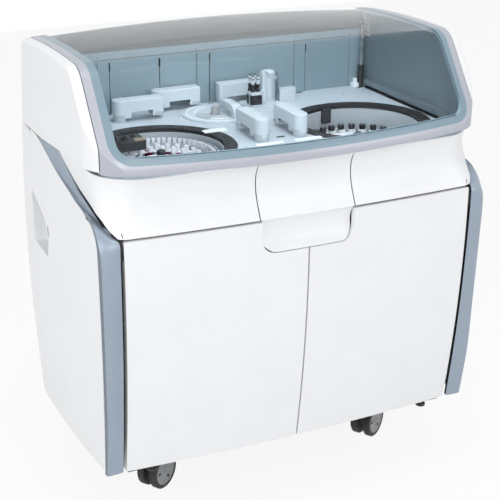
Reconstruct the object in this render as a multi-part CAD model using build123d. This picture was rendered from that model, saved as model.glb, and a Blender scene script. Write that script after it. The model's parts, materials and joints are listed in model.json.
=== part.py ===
from build123d import *
import math
import os

# Floor-standing chemistry analyser: a bow-fronted cabinet on casters with two doors,
# a working deck with two carousels and swinging arms, and a lid hinged at the rear.
# Millimetres. +X to the right as seen from the front, -Y to the front, +Z up.
# Origin: on the floor, under the centre of the outer box.

os.makedirs("parts", exist_ok=True)

# ---------------------------------------------------------------- driving dimensions
HALF_W = 500.0            # outer face of each side panel from the middle plane
FRONT_Y = -350.0          # foremost line of the lid lip, on the middle plane
REAR_Y = 350.0            # rearmost point of the side panels' bulge
GAP = 3.0                 # visible shut line between covers
SKIN = 3.0                # wall of the moulded covers

# doors and the column trims that flank them
DOOR_FACE_Y = -330.0      # foremost line of the doors, on the middle plane
DOOR_BOW_R = 6336.0       # plan radius of the doors and upper panels
DOOR_LEAN_R = 3240.0      # side-view radius of the door face
DOOR_TANGENT_Z = 745.0    # height where the door face is upright
DOOR_Z0 = 186.0
DOOR_Z1 = 792.0
DOOR_HALF = 448.0         # outer edge of each door
DOOR_T = 20.0
DOOR_SLIT = 4.0           # shut line between the two doors
PIVOT_X = 382.0           # door pivots, far enough in for the open door to clear the column trim
PIVOT_Y = -262.0
PIVOT_R = 4.0
PIN_PLAY = 0.05           # radial clearance of every pin in its bore
TRIM_X = 457.0            # inner edge of the column trim

# upper panels and the centre panel
WAIST_Z0 = 797.0
WAIST_Z1 = 925.0
WAIST_TOP_Y = -312.0
WAIST_DEEP_Y = -295.0
WAIST_FLARE_Y = -324.0
UPPER_HALF = 484.0        # side wrap of the upper panels
UPPER_CORNER_R = 60.0
CENTRE_HALF = 121.5
SCOOP_Z0 = 717.0          # bottom of the finger scoop
SCOOP_HALF = 118.0
SCOOP_CORNER_R = 34.0

# hood and lid
LID_BOW_R = 1800.0        # plan radius of the lid's lip
HOOD_CORNER_R = 110.0     # plan radius of the hood's front corners
LID_Z0 = 936.0
LID_TOP_Z = 1168.0        # highest point of the crowned top
CROWN_R = 6320.0          # crown seen from the front
DOME_R = 3200.0           # crown seen from the side
DOME_Y = -20.0
SLOPE_LOW = (-306.0, 1019.0)     # two points of the sloping front, on the middle plane
SLOPE_HIGH = (-232.0, 1122.0)
SLOPE_FOOT_R = 60.0       # rounding between lip and slope
BROW_R = 70.0             # rounding between slope and top
LID_HALF = 477.0
CHEEK_X = 479.0           # inner face of the cheeks
CHEEK_EDGE_R = 8.0
HINGE_Y = 262.0
HINGE_Z = 1118.0
HINGE_R = 5.0
FRAME_T = 16.0
STRIP_T = 9.0
GLASS_T = 4.0
STRIP_HALF = 458.0
STRIP_Z0 = 957.0
GLASS_HALF = 440.0
GLASS_Z0 = 973.0
LID_REAR_Y = 258.0

# deck
DECK_Z = 924.0
DECK_T = 8.0
DECK_HALF = 470.0
DECK_REAR_Y = 246.0
WALL_Y = 249.0            # face of the back liner
LINER_X = 465.0           # face of the side liners
LINER_T = 3.0
CAROUSEL_X = 268.0
CAROUSEL_Y = -79.0
RING_R1 = 181.0
RING_R0 = 150.0
TUB_R = 149.0
TUB_WALL = 3.0
TUB_FLANGE_T = 4.0
TUB_Z0 = 800.0
ROTOR_R = 139.0
SPINDLE_R = 12.0

# arms
ARM_L = 132.0
ARM_W = 36.0
ARM_H = 46.0
ARM_LIFT_Z = 934.0        # underside of the arm covers at rest
POST_R = 9.0
PROBE_R = 1.6
WASH_X = 78.0             # wash block on the deck
WASH_Y = 142.0

# base and casters
BASE_Z0 = 130.0
BASE_T = 20.0
BASE_FRONT_Y = -160.0
BASE_REAR_Y = 282.0
STEP_Z = 168.0            # raised floor behind the doors
TUBE = 30.0               # square uprights
CASTER_X = 318.0
CASTER_FRONT_Y = -85.0
CASTER_REAR_Y = 235.0
WHEEL_R = 50.0
WHEEL_T = 20.0
WHEEL_GAP = 18.0
CASTER_TRAIL = 18.0
CASTER_TURN = -56.0        # how far the casters stand swivelled at rest, degrees
AXLE_R = 5.0


# ---------------------------------------------------------------- shared helpers
def P(y, z, x=0.0):
    return (x, y, z)


def save(shape, name):
    export_step(shape, "parts/" + name + ".step")


def solids(*shapes):
    return Compound(children=[s for shape in shapes for s in shape.solids()])


def slab(x0, x1, y0, y1, z0, z1):
    return Pos((x0 + x1) / 2, (y0 + y1) / 2, (z0 + z1) / 2) * Box(x1 - x0, y1 - y0, z1 - z0)


def cyl(x, y, z0, z1, r):
    return Pos(x, y, (z0 + z1) / 2) * Cylinder(r, z1 - z0)


def cyl_x(x0, x1, y, z, r):
    return Pos((x0 + x1) / 2, y, z) * Rot(0, 90, 0) * Cylinder(r, x1 - x0)


def prism_x(edges, x0, x1):
    face = make_face(edges)
    return extrude(Pos(x0, 0, 0) * face, amount=x1 - x0, dir=(1, 0, 0))


def prism_z(edges, z0, z1):
    return extrude(Pos(0, 0, z0) * make_face(edges), amount=z1 - z0, dir=(0, 0, 1))


def bowed(face, centre_y, half_x):
    """Turn a side-view face about an upright axis, so that it bows in plan."""
    reach = 2.4 * math.degrees(math.asin(half_x / abs(centre_y)))
    axis = Axis((0, centre_y, 0), (0, 0, 1))
    start = face.rotate(axis, -reach / 2)
    return revolve(start, axis, revolution_arc=reach)


def mirrored(shape):
    return mirror(shape, about=Plane.YZ)


# ---------------------------------------------------------------- doors
def lean_point(z, inset):
    r = DOOR_LEAN_R - inset
    y = DOOR_FACE_Y + DOOR_LEAN_R - math.sqrt(r * r - (z - DOOR_TANGENT_Z) ** 2)
    return P(y, z)


def lean_band(z0, z1, inset0, inset1):
    """Side-view strip between two depths behind the leaning door face."""
    mid = (z0 + z1) / 2
    outer = ThreePointArc(lean_point(z0, inset0), lean_point(mid, inset0), lean_point(z1, inset0))
    inner = ThreePointArc(lean_point(z1, inset1), lean_point(mid, inset1), lean_point(z0, inset1))
    return make_face([outer, Line(outer @ 1, inner @ 0), inner, Line(inner @ 1, outer @ 0)])


def scoop_outline(grow, y0, y1):
    """The finger scoop's outline seen from the front, as a prism along Y."""
    half = SCOOP_HALF + grow
    z0 = SCOOP_Z0 - grow
    z1 = DOOR_Z1 + 20.0
    plate = Pos(0, (y0 + y1) / 2, (z0 + z1) / 2) * Box(2 * half, y1 - y0, z1 - z0)
    corners = plate.edges().filter_by(Axis.Y).sort_by(Axis.Z)[:2]
    return fillet(corners, SCOOP_CORNER_R + grow)


def door_right():
    bow_y = DOOR_FACE_Y + DOOR_BOW_R
    x0 = DOOR_SLIT / 2
    outer = bowed(lean_band(DOOR_Z0, DOOR_Z1, 0, DOOR_T), bow_y, DOOR_HALF)
    pan = outer & slab(x0, DOOR_HALF, -400, -200, 0, 1000)
    hollow = bowed(lean_band(DOOR_Z0 + SKIN, DOOR_Z1 - SKIN, SKIN, DOOR_T + 5), bow_y, DOOR_HALF)
    rim = slab(x0 + SKIN, DOOR_HALF - SKIN, -400, -200, 0, 1000) - scoop_outline(GAP + SKIN, -400, -200)
    pan -= hollow & rim
    pan -= scoop_outline(GAP, -400, -200)
    # ears that carry the door on its two pivots
    ear_w = 13.0
    ear_t = 6.0
    low_ear = slab(PIVOT_X - ear_w, PIVOT_X + ear_w, -278, PIVOT_Y, DOOR_Z0, DOOR_Z0 + ear_t)
    low_ear += cyl(PIVOT_X, PIVOT_Y, DOOR_Z0, DOOR_Z0 + ear_t, ear_w)
    top_ear = slab(PIVOT_X - ear_w, PIVOT_X + ear_w, -322, PIVOT_Y, DOOR_Z1 - ear_t, DOOR_Z1)
    top_ear += cyl(PIVOT_X, PIVOT_Y, DOOR_Z1 - ear_t, DOOR_Z1, ear_w)
    inside = bowed(lean_band(DOOR_Z0 - 5, DOOR_Z1 + 5, 1.0, 200), bow_y, DOOR_HALF)
    pan += (low_ear + top_ear) & inside
    pan -= cyl(PIVOT_X, PIVOT_Y, DOOR_Z0 - 10, DOOR_Z1 + 10, PIVOT_R + PIN_PLAY)
    return pan


# ---------------------------------------------------------------- upper and centre panels
def waist_line(shift):
    return Spline(P(WAIST_TOP_Y + shift, WAIST_Z1), P(WAIST_DEEP_Y + shift, 875),
                  P(WAIST_DEEP_Y - 6 + shift, 845), P(WAIST_FLARE_Y + shift, WAIST_Z0))


def behind_waist(shift):
    line = waist_line(shift)
    back = 40.0
    return make_face([line, Line(line @ 1, P(back, WAIST_Z0)),
                      Line(P(back, WAIST_Z0), P(back, WAIST_Z1)), Line(P(back, WAIST_Z1), line @ 0)])


def cabinet_plan(inset, front_y, back_y, z0, z1):
    """Plan outline of the upper cabinet with rounded front corners."""
    half = UPPER_HALF - inset
    sag = half ** 2 / (2 * DOOR_BOW_R)
    y = front_y + inset
    bow = ThreePointArc((-half, y + sag, 0), (0, y, 0), (half, y + sag, 0))
    body = prism_z([bow, Line((half, y + sag, 0), (half, back_y, 0)),
                    Line((half, back_y, 0), (-half, back_y, 0)), Line((-half, back_y, 0), (-half, y + sag, 0))], z0, z1)
    corners = body.edges().filter_by(Axis.Z).sort_by(Axis.Y)[:2]
    return fillet(corners, UPPER_CORNER_R - inset)


# side-view line where the upper panels' wrap ends and the trim's scoop begins
WRAP_LINE = [(-345.0, 797.0), (-316.0, 802.0), (-300.0, 815.0), (-262.0, 840.0), (-200.0, 871.0),
             (-110.0, 899.0), (-8.0, 926.0)]


def below_wrap_line(drop):
    points = [P(y, z - drop) for y, z in WRAP_LINE]
    points += [P(60, WRAP_LINE[-1][1] - drop), P(60, 700), P(WRAP_LINE[0][0], 700)]
    return prism_x([Polyline(*points, close=True)], -HALF_W - 10, HALF_W + 10)


def upper_panels():
    bow_y = DOOR_FACE_Y + DOOR_BOW_R
    block = bowed(behind_waist(0), bow_y, HALF_W)
    block &= cabinet_plan(0, WAIST_FLARE_Y, 38, WAIST_Z0, WAIST_Z1)
    core = bowed(behind_waist(SKIN), bow_y, HALF_W)
    core &= cabinet_plan(SKIN, WAIST_FLARE_Y, 60, WAIST_Z0, WAIST_Z1)
    shell = block - core
    side_zone = slab(-600, -UPPER_HALF + 50, -345, 100, 700, 1000)
    side_zone += slab(UPPER_HALF - 50, 600, -345, 100, 700, 1000)
    shell -= below_wrap_line(0) & side_zone
    shell -= slab(-600, 600, -8, 100, 700, 1000)
    right = shell & slab(CENTRE_HALF + GAP, 600, -400, 100, 700, 1000)
    return right


def centre_panel():
    bow_y = DOOR_FACE_Y + DOOR_BOW_R
    line = waist_line(0)
    inner = waist_line(SKIN)
    band = make_face([line, Line(line @ 1, inner @ 1), inner, Line(inner @ 0, line @ 0)])
    panel = bowed(band, bow_y, CENTRE_HALF) & slab(-CENTRE_HALF, CENTRE_HALF, -400, 0, 700, 1000)
    # concave finger scoop below the crease
    lip = P(DOOR_FACE_Y - 1, SCOOP_Z0)
    deep = P(WAIST_FLARE_Y + 16, (SCOOP_Z0 + WAIST_Z0) / 2 + 6)
    crease = P(WAIST_FLARE_Y, WAIST_Z0)
    dish = ThreePointArc(lip, deep, crease)
    dish_back = ThreePointArc(P(lip[1] + SKIN, lip[2]), P(deep[1] + SKIN, deep[2]), P(crease[1] + SKIN, crease[2]))
    dish_band = make_face([dish, Line(dish @ 1, dish_back @ 1), dish_back, Line(dish_back @ 0, dish @ 0)])
    scoop = bowed(dish_band, bow_y, CENTRE_HALF) & scoop_outline(0, -400, -200)
    # rim that closes the scoop against the doors
    rim_zone = scoop_outline(0, -400, -200) - scoop_outline(-SKIN, -400, -200)
    rim_zone &= slab(-300, 300, -400, -200, SCOOP_Z0 - 5, WAIST_Z0)
    wall = bowed(lean_band(SCOOP_Z0 - 8, WAIST_Z0, 1.0, 26), bow_y, CENTRE_HALF) & rim_zone
    front_of_dish = make_face([dish, Line(dish @ 1, P(-400, WAIST_Z0)), Line(P(-400, WAIST_Z0), P(-400, SCOOP_Z0)),
                               Line(P(-400, SCOOP_Z0), dish @ 0)])
    wall -= bowed(front_of_dish, bow_y, CENTRE_HALF)
    return panel + scoop + wall


# ---------------------------------------------------------------- trims and side panels
# the swept scoop: (y, height of its lower edge, height of its upper edge)
SWOOSH = [(234.0, 904.0, 912.0), (180.0, 894.0, 912.0), (120.0, 880.0, 914.0), (60.0, 866.0, 918.0),
          (0.0, 853.0, 922.0), (-55.0, 842.0, 908.0), (-110.0, 832.5, 894.0), (-160.0, 826.0, 879.0),
          (-210.0, 820.0, 862.0), (-262.0, 806.0, 834.0)]
# column trim in plan: (height, y of the inner edge, y of the outer edge)
COLUMN = [(188.0, -270.0, -266.0), (330.0, -289.0, -280.0), (480.0, -302.0, -286.0), (640.0, -310.0, -288.0),
          (760.0, -312.0, -288.0), (846.0, -310.0, -284.0)]
TRIM_T = 3.5


def column_section(z, y_in, y_out, back):
    """Plan section of the column: rounded front corner, thin wall, short return on the side."""
    mid = (484.0, y_in + (y_out - y_in) * 0.30, z)
    front = ThreePointArc((TRIM_X, y_in, z), mid, (HALF_W, y_out, z))
    inner = ThreePointArc((HALF_W - TRIM_T, y_out + TRIM_T, z), (482.0, mid[1] + TRIM_T, z),
                          (TRIM_X, y_in + TRIM_T, z))
    if back == 0:
        return make_face([front, Line(front @ 1, inner @ 0), inner, Line(inner @ 1, front @ 0)])
    corner = (HALF_W, y_out + TRIM_T + back, z)
    corner_in = (HALF_W - TRIM_T, y_out + TRIM_T + back, z)
    edges = [front, Line(front @ 1, corner), Line(corner, corner_in), Line(corner_in, inner @ 0), inner,
             Line(inner @ 1, front @ 0)]
    return make_face(edges)


def side_outline(grow):
    """Side view of the side panel, with its front corner rounded."""
    g = grow
    top = Spline(*[P(y, low + g) for y, low, high in SWOOSH[:-1]])
    tip = P(311 + g, 916 + g)
    rear_foot = P(281 + g, 163 - g)
    rear = ThreePointArc(tip, P(REAR_Y + g, 540), rear_foot)
    corner = ThreePointArc(top @ 1, P(-265 - g, 805 + g), P(-286.5 + 4 - g, 762))
    front_mid = P(-281.5 - g, 480)
    front_foot = P(-261 - g, 196 - g)
    front = ThreePointArc(corner @ 1, front_mid, front_foot)
    kink_a = P(-55, 167 - g)
    kink_b = P(136, 151 - g)
    heel = P(253, 151 - g)
    return [top, corner, front, Line(front_foot, kink_a), Line(kink_a, kink_b), Line(kink_b, heel),
            Line(heel, rear_foot), rear, Line(tip, top @ 0)]


GRIP = [(262.0, 752.0), (114.0, 684.0), (141.0, 600.0), (262.0, 606.0)]


GRIP_CORNER_R = 14.0


def grip_prism(grow, x0, x1):
    points = [P(y, z) for y, z in GRIP]
    sheet = make_face([Polyline(*points, close=True)])
    sheet = fillet(sheet.vertices(), GRIP_CORNER_R)
    sheet = offset(sheet, amount=grow) if grow else sheet
    return extrude(Pos(x0, 0, 0) * sheet, amount=x1 - x0, dir=(1, 0, 0))


PANEL_T = 12.0
GRIP_DEPTH = 34.0


def side_panel_right():
    x_in = HALF_W - PANEL_T
    body = prism_x(side_outline(0), x_in, HALF_W)
    body = fillet(body.faces().sort_by(Axis.X)[-1].edges().sort_by(Axis.Y)[-2:], 3.0)
    tray = prism_x(side_outline(-SKIN * 2), x_in - 1, HALF_W - SKIN)
    body -= tray
    body += grip_prism(SKIN, HALF_W - GRIP_DEPTH, HALF_W - 1.5)
    body -= grip_prism(0, HALF_W - GRIP_DEPTH + SKIN, HALF_W + 5)
    return body


def trim_right():
    column = loft([column_section(z, y_in, y_out, 0) for z, y_in, y_out in COLUMN])
    corner = loft([column_section(z, y_in, y_out, 24.0) for z, y_in, y_out in COLUMN[-2:]], ruled=True)
    corner -= prism_x(side_outline(0.5), HALF_W - 60, HALF_W + 5)
    column += corner
    above = [P(y, z - 4) for y, z in WRAP_LINE[:5]]
    above += [P(above[-1][1], 900), P(above[0][1], 900)]
    column -= prism_x([Polyline(*above, close=True)], 400, 600)
    sections = []
    for y, low, high in SWOOSH:
        z0 = low + 0.5
        z1 = high - 1.2
        x1 = HALF_W - 0.5
        x0 = UPPER_HALF - 3.0
        arc = Bezier((x1, y, z0), (x0, y, z0), (x0, y, z1))
        back = x0 - 5.0
        sections.append(make_face([arc, Line((x0, y, z1), (back, y, z1)), Line((back, y, z1), (back, y, z0)),
                                   Line((back, y, z0), (x1, y, z0))]))
    swoosh = loft(sections, ruled=True) - prism_x(side_outline(0.5), HALF_W - 60, HALF_W + 5)
    return column, swoosh


# ---------------------------------------------------------------- hood block shared by lid and cheeks
def hood_block(inset):
    """Everything under the hood's outer surface, less an inset all round."""
    dy = SLOPE_HIGH[0] - SLOPE_LOW[0]
    dz = SLOPE_HIGH[1] - SLOPE_LOW[1]
    run = math.hypot(dy, dz)
    ny = dz / run * inset
    nz = -dy / run * inset
    lip_y = FRONT_Y + inset
    low = (SLOPE_LOW[0] + ny, SLOPE_LOW[1] + nz)
    knee_z = low[1] + (lip_y - low[0]) * dz / dy
    over_y = low[0] + (1300 - low[1]) * dy / dz
    turn = math.atan2(dy, dz)
    reach = SLOPE_FOOT_R * math.tan(turn / 2)
    lip = P(lip_y, knee_z - reach)
    rise = P(lip_y + reach * dy / run, knee_z + reach * dz / run)
    centre_y = lip_y + SLOPE_FOOT_R
    mid = P(centre_y - SLOPE_FOOT_R * math.cos(turn / 2), lip[2] + SLOPE_FOOT_R * math.sin(turn / 2))
    back = 340.0
    face = make_face([Line(P(lip_y, 900), lip), ThreePointArc(lip, mid, rise), Line(rise, P(over_y, 1300)),
                      Line(P(over_y, 1300), P(back, 1300)), Line(P(back, 1300), P(back, 900)),
                      Line(P(back, 900), P(lip_y, 900))])
    body = bowed(face, FRONT_Y + LID_BOW_R, HALF_W)
    # crowned top: an arc seen from the front, turned about a cross axis below
    top = LID_TOP_Z - inset
    half = HALF_W + 60.0
    drop = half ** 2 / (2 * CROWN_R)
    low_z = 850.0
    cap = make_face([ThreePointArc((-half, DOME_Y, top - drop), (0, DOME_Y, top), (half, DOME_Y, top - drop)),
                     Line((half, DOME_Y, top - drop), (half, DOME_Y, low_z)),
                     Line((half, DOME_Y, low_z), (-half, DOME_Y, low_z)),
                     Line((-half, DOME_Y, low_z), (-half, DOME_Y, top - drop))])
    axis = Axis((0, DOME_Y, LID_TOP_Z - DOME_R), (1, 0, 0))
    swing = 22.0
    dome = revolve(cap.rotate(axis, -swing / 2), axis, revolution_arc=swing)
    body &= dome
    brow = body.edges().filter_by(lambda e: e.center().Z > 1080 and e.length > 800
                                  and e.center().Y < 0).sort_by(Axis.Z)[-1:]
    body = fillet(brow, BROW_R - inset)
    # plan outline with round front corners
    w = HALF_W - inset
    sag = w ** 2 / (2 * LID_BOW_R)
    bow = ThreePointArc((-w, lip_y + sag, 0), (0, lip_y, 0), (w, lip_y + sag, 0))
    plan = prism_z([bow, Line((w, lip_y + sag, 0), (w, back, 0)), Line((w, back, 0), (-w, back, 0)),
                    Line((-w, back, 0), (-w, lip_y + sag, 0))], 890, 1310)
    corners = plan.edges().filter_by(Axis.Z).sort_by(Axis.Y)[:2]
    plan = fillet(corners, HOOD_CORNER_R - inset)
    return body & plan


def front_window(half, z0, radius):
    """Prism along Y with round lower corners, open at the top."""
    height = 1400 - z0
    plate = Pos(0, -60, z0 + height / 2) * Box(2 * half, 700, height)
    corners = plate.edges().filter_by(Axis.Y).sort_by(Axis.Z)[:2]
    return fillet(corners, radius)



BLOCK = hood_block(0)
BLOCK_GLASS = hood_block(GLASS_T)
BLOCK_STRIP = hood_block(STRIP_T)
BLOCK_FRAME = hood_block(FRAME_T)


def lid_parts():
    glass_hole = front_window(GLASS_HALF, GLASS_Z0, 30.0)
    strip_hole = front_window(STRIP_HALF, STRIP_Z0, 46.0)
    reach = slab(-LID_HALF, LID_HALF, -400, LID_REAR_Y, LID_Z0, 1200)
    glass = ((BLOCK - BLOCK_GLASS) & reach) & glass_hole
    strip = (((BLOCK - BLOCK_STRIP) & reach) & strip_hole) - glass_hole
    frame = ((BLOCK - BLOCK_FRAME) & reach) - strip_hole
    lugs = []
    x0 = STRIP_HALF + 1.5
    x1 = LID_HALF - 0.5
    for side in (-1, 1):
        lug = cyl_x(x0, x1, HINGE_Y, HINGE_Z, 10.0)
        lug += slab(x0, x1, 236, HINGE_Y, HINGE_Z - 4, 1160) & BLOCK
        lug += slab(x0, x1, STRUT_TOP_Y - 8, STRUT_TOP_Y + 8, STRUT_TOP_Z - 6, 1160) & BLOCK
        lug += cyl_x(STRUT_X - 5, x1, STRUT_TOP_Y, STRUT_TOP_Z, STUD_R)
        lug -= cyl_x(x0 - 30, x1 + 5, HINGE_Y, HINGE_Z, HINGE_R + PIN_PLAY)
        lugs.append(lug if side > 0 else mirrored(lug))
    frame += lugs[0]
    frame += lugs[1]
    return frame, strip, glass


# gas struts in the rear corners
STRUT_X = 449.0
STRUT_Y = 232.0
STRUT_Z = 806.0
STRUT_TOP_Y = 238.0
STRUT_TOP_Z = 1104.0
STRUT_R = 8.0
ROD_R = 3.5
STUD_R = 3.0
EYE_PLAY = 3.2            # clearance of the open upper pivot
BARREL_TOP_Z = 984.0


def strut_right():
    barrel = cyl(STRUT_X, STRUT_Y, STRUT_Z + 6, BARREL_TOP_Z, STRUT_R)
    barrel += cyl_x(STRUT_X - 4.5, STRUT_X + 4.5, STRUT_Y, STRUT_Z, 8.5)
    barrel -= cyl_x(STRUT_X - 20, STRUT_X + 20, STRUT_Y, STRUT_Z, PIVOT_R + PIN_PLAY)
    barrel -= cyl(STRUT_X, STRUT_Y, STRUT_Z + 50, BARREL_TOP_Z + 5, ROD_R + PIN_PLAY)
    eye_r = STUD_R + EYE_PLAY + 3.5
    rod = cyl(STRUT_X, STRUT_Y, STRUT_Z + 60, STRUT_TOP_Z - eye_r + 2, ROD_R)
    rod += cyl_x(STRUT_X - 3.5, STRUT_X + 3.5, STRUT_TOP_Y, STRUT_TOP_Z, eye_r)
    rod -= cyl_x(STRUT_X - 20, STRUT_X + 20, STRUT_TOP_Y, STRUT_TOP_Z, STUD_R + EYE_PLAY)
    return barrel, rod


def strut_bracket_right():
    plate = slab(STRUT_X - 13, STRUT_X - 9, STRUT_Y - 12, UPRIGHT_REAR_Y - TUBE, STRUT_Z - 12, STRUT_Z + 12)
    pin = cyl_x(STRUT_X - 11, STRUT_X + 7, STRUT_Y, STRUT_Z, PIVOT_R)
    return plate + pin


def cheek_right():
    bottom = [P(-430, 942), P(-250, 941), P(-145, 937), P(-8, 927.5), P(150, 916), P(309, 916)]
    rear_low = P(268, 1092)
    rear_top = P(232, 1150)
    corner = ThreePointArc(rear_low, P(261, 1124), rear_top)
    edges = [Polyline(*bottom), Line(bottom[-1], rear_low), corner, Line(rear_top, P(232, 1300)),
             Line(P(232, 1300), P(-430, 1300)), Line(P(-430, 1300), bottom[0])]
    side = prism_x(edges, CHEEK_X, HALF_W + 5)
    shell_t = 5.0
    body = BLOCK & side
    rim = body.faces().filter_by(Axis.X).sort_by(Axis.X)[-1].edges()
    body = fillet(rim.filter_by(lambda e: e.center().Z > 1000 and e.center().Y < 225), CHEEK_EDGE_R)
    core = prism_x(edges, CHEEK_X - 1, HALF_W - shell_t) & hood_block(FRAME_T)
    core &= slab(CHEEK_X - 2, HALF_W, -400, 290, 921 + shell_t, 1200)
    body -= core & slab(CHEEK_X - 2, HALF_W, -400, 226, 900, 1200)
    return body - cyl_x(CHEEK_X - 5, CHEEK_X + 10.3, HINGE_Y, HINGE_Z, HINGE_R + PIN_PLAY)


def header():
    foot = P(309, 918)
    cap = P(270, 1108)
    t = 4.0
    wall = prism_x([Line(foot, cap), Line(cap, P(cap[1] - t, 1108 - t)),
                    Line(P(cap[1] - t, 1108 - t), P(foot[1] - t, 918)), Line(P(foot[1] - t, 918), foot)],
                   -CHEEK_X + 0.3, CHEEK_X - 0.3)
    ends = slab(-600, 600, 200, 400, 1095, 1200) - slab(-455, 455, 200, 400, 1090, 1210)
    wall -= ends
    beam = slab(-438, 438, WALL_Y, LID_REAR_Y + 2, 1078, 1200) & hood_block(GLASS_T + 4)
    beam += slab(-455, 455, WALL_Y, LID_REAR_Y + 2, 1078, 1200) & hood_block(STRIP_T + 3)
    half = 480.0
    drop = half ** 2 / (2 * CROWN_R)
    mid = 1101.0
    under = make_face([ThreePointArc((-half, 0, mid - drop), (0, 0, mid), (half, 0, mid - drop)),
                       Line((half, 0, mid - drop), (half, 0, 1000)), Line((half, 0, 1000), (-half, 0, 1000)),
                       Line((-half, 0, 1000), (-half, 0, mid - drop))])
    beam -= extrude(Pos(0, WALL_Y - 5, 0) * under, amount=LID_REAR_Y - WALL_Y, dir=(0, 1, 0))
    bridge = slab(-455, 455, WALL_Y + 6, 268, 1103, 1108)
    body = wall + beam + bridge
    for x in (-453, 453):
        body += cyl_x(x - 2, x + 2, HINGE_Y, HINGE_Z, 11)
        body += slab(x - 2, x + 2, HINGE_Y - 11, HINGE_Y + 11, 1104, HINGE_Z)
        body -= cyl_x(x - 6, x + 6, HINGE_Y, HINGE_Z, HINGE_R + PIN_PLAY)
    return body


def back_liner():
    body = slab(-LINER_X + 0.3, LINER_X - 0.3, WALL_Y, WALL_Y + LINER_T, DECK_Z + 0.3, 1083)
    for x0, x1 in ((-313, -283), (-40, -6), (247, 279), (418, 440)):
        body += slab(x0, x1, WALL_Y - 4, WALL_Y + 1, DECK_Z + 0.3, 1074)
    for x in (-281, -144, -3, 281):
        body -= slab(x - 2.5, x + 2.5, WALL_Y - 10, WALL_Y + 10, 1036, 1066)
    return body


def side_liner_right(block):
    top = slab(LINER_X, LINER_X + LINER_T, -238, WALL_Y + LINER_T, DECK_Z + 0.3, 1200) & block
    top -= slab(400, 600, STRUT_TOP_Y - 20, 300, 1076, 1200)
    rail = slab(LINER_X - 13, LINER_X + 1, -238, WALL_Y - 28, 938, 948)
    rail += slab(LINER_X - 13, LINER_X - 10, -238, WALL_Y - 28, 934, 940)
    return top + rail


# ---------------------------------------------------------------- deck
def arm_frames():
    """Arms: name, post x, post y, direction of the cover in degrees."""
    return {"a": (-285.0, 169.0, 0.0), "b": (-160.0, 224.0, 0.0), "d": (-33.0, -135.0, 90.0),
            "e": (70.0, -135.0, 90.0)}


def deck_plate():
    plan = cabinet_plan(3.3, -305.0, DECK_REAR_Y + 2.7, DECK_Z - DECK_T, DECK_Z)
    for side in (-1, 1):
        plan -= cyl(side * CAROUSEL_X, CAROUSEL_Y, 900, 940, RING_R1 + 0.3)
        plan -= Pos(side * STRUT_X, STRUT_Y + 4, DECK_Z) * Box(24, 40, 40)
        plan -= Pos(side * (DECK_HALF + 20), 120, DECK_Z) * Box(32, 300, 40)
    for x, y, turn in arm_frames().values():
        plan -= cyl(x, y, 900, 940, POST_R + PIN_PLAY)
    return plan


def deck_rings():
    rings = []
    for side in (-1, 1):
        ring = cyl(side * CAROUSEL_X, CAROUSEL_Y, DECK_Z - DECK_T, DECK_Z + 1.2, RING_R1)
        ring -= cyl(side * CAROUSEL_X, CAROUSEL_Y, 900, 940, RING_R0)
        rings.append(ring)
    return solids(*rings)


def tub(x):
    """Open cup under a carousel, hung from the deck by its flange."""
    flange_top = DECK_Z - DECK_T - 0.3
    cup = cyl(x, CAROUSEL_Y, TUB_Z0, flange_top, TUB_R)
    cup += cyl(x, CAROUSEL_Y, flange_top - TUB_FLANGE_T, flange_top, RING_R1 + 10)
    cup -= cyl(x, CAROUSEL_Y, TUB_Z0 + TUB_WALL + 1, flange_top + 20, TUB_R - TUB_WALL)
    return cup - cyl(x, CAROUSEL_Y, TUB_Z0 - 5, flange_top + 20, SPINDLE_R + PIN_PLAY)


def around(x, y, radius, count, start=0.0):
    """Places on a circle, with the outward direction in degrees."""
    for i in range(count):
        a = start + 360.0 * i / count
        yield x + radius * math.cos(math.radians(a)), y + radius * math.sin(math.radians(a)), a


ROTOR_Z = 850.0
CUVETTE_R = 127.0
CUVETTES = 60
TUBE_RINGS = ((96.0, 24), (74.0, 16))
BOTTLE_R = 119.0
BOTTLES = 26


def sample_rotor():
    x = -CAROUSEL_X
    body = cyl(x, CAROUSEL_Y, ROTOR_Z, ROTOR_Z + 5, ROTOR_R)
    for r1, r0, top in ((ROTOR_R, ROTOR_R - 3, 906.0), (CUVETTE_R - 8, CUVETTE_R - 11, 898.0), (58.0, 55.0, 884.0)):
        wall = cyl(x, CAROUSEL_Y, ROTOR_Z, top, r1) - cyl(x, CAROUSEL_Y, ROTOR_Z - 1, 940, r0)
        body += wall
    body += cyl(x, CAROUSEL_Y, ROTOR_Z - 20, ROTOR_Z + 30, 22)
    body += cyl(x, CAROUSEL_Y, TUB_Z0 - 8, ROTOR_Z, SPINDLE_R)
    body += cyl(x, CAROUSEL_Y, TUB_Z0 + TUB_WALL + 1.3, ROTOR_Z, 20)
    return body


def sample_vessels():
    x = -CAROUSEL_X
    items = []
    for px, py, a in around(x, CAROUSEL_Y, CUVETTE_R, CUVETTES):
        items.append(Pos(px, py, ROTOR_Z + 5.3 + 26) * Rot(0, 0, a) * Box(7, 8, 52))
    for radius, count in TUBE_RINGS:
        for px, py, a in around(x, CAROUSEL_Y, radius, count):
            items.append(Pos(px, py, ROTOR_Z + 5.3 + 24) * extrude(RegularPolygon(7.0, 8), 24, both=True))
    return solids(*items)


def reagent_rotor():
    x = CAROUSEL_X
    body = cyl(x, CAROUSEL_Y, ROTOR_Z - 10, ROTOR_Z - 5, ROTOR_R)
    body += cyl(x, CAROUSEL_Y, ROTOR_Z - 10, 864, 98) - cyl(x, CAROUSEL_Y, ROTOR_Z - 5, 858, 92)
    dome = Pos(x, CAROUSEL_Y, 864) * Cylinder(16, 24)
    dome = fillet(dome.faces().sort_by(Axis.Z)[-1].edges(), 7)
    body += dome
    body += cyl(x, CAROUSEL_Y, TUB_Z0 - 8, ROTOR_Z, SPINDLE_R)
    body += cyl(x, CAROUSEL_Y, TUB_Z0 + TUB_WALL + 1.3, ROTOR_Z - 8, 20)
    return body


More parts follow.
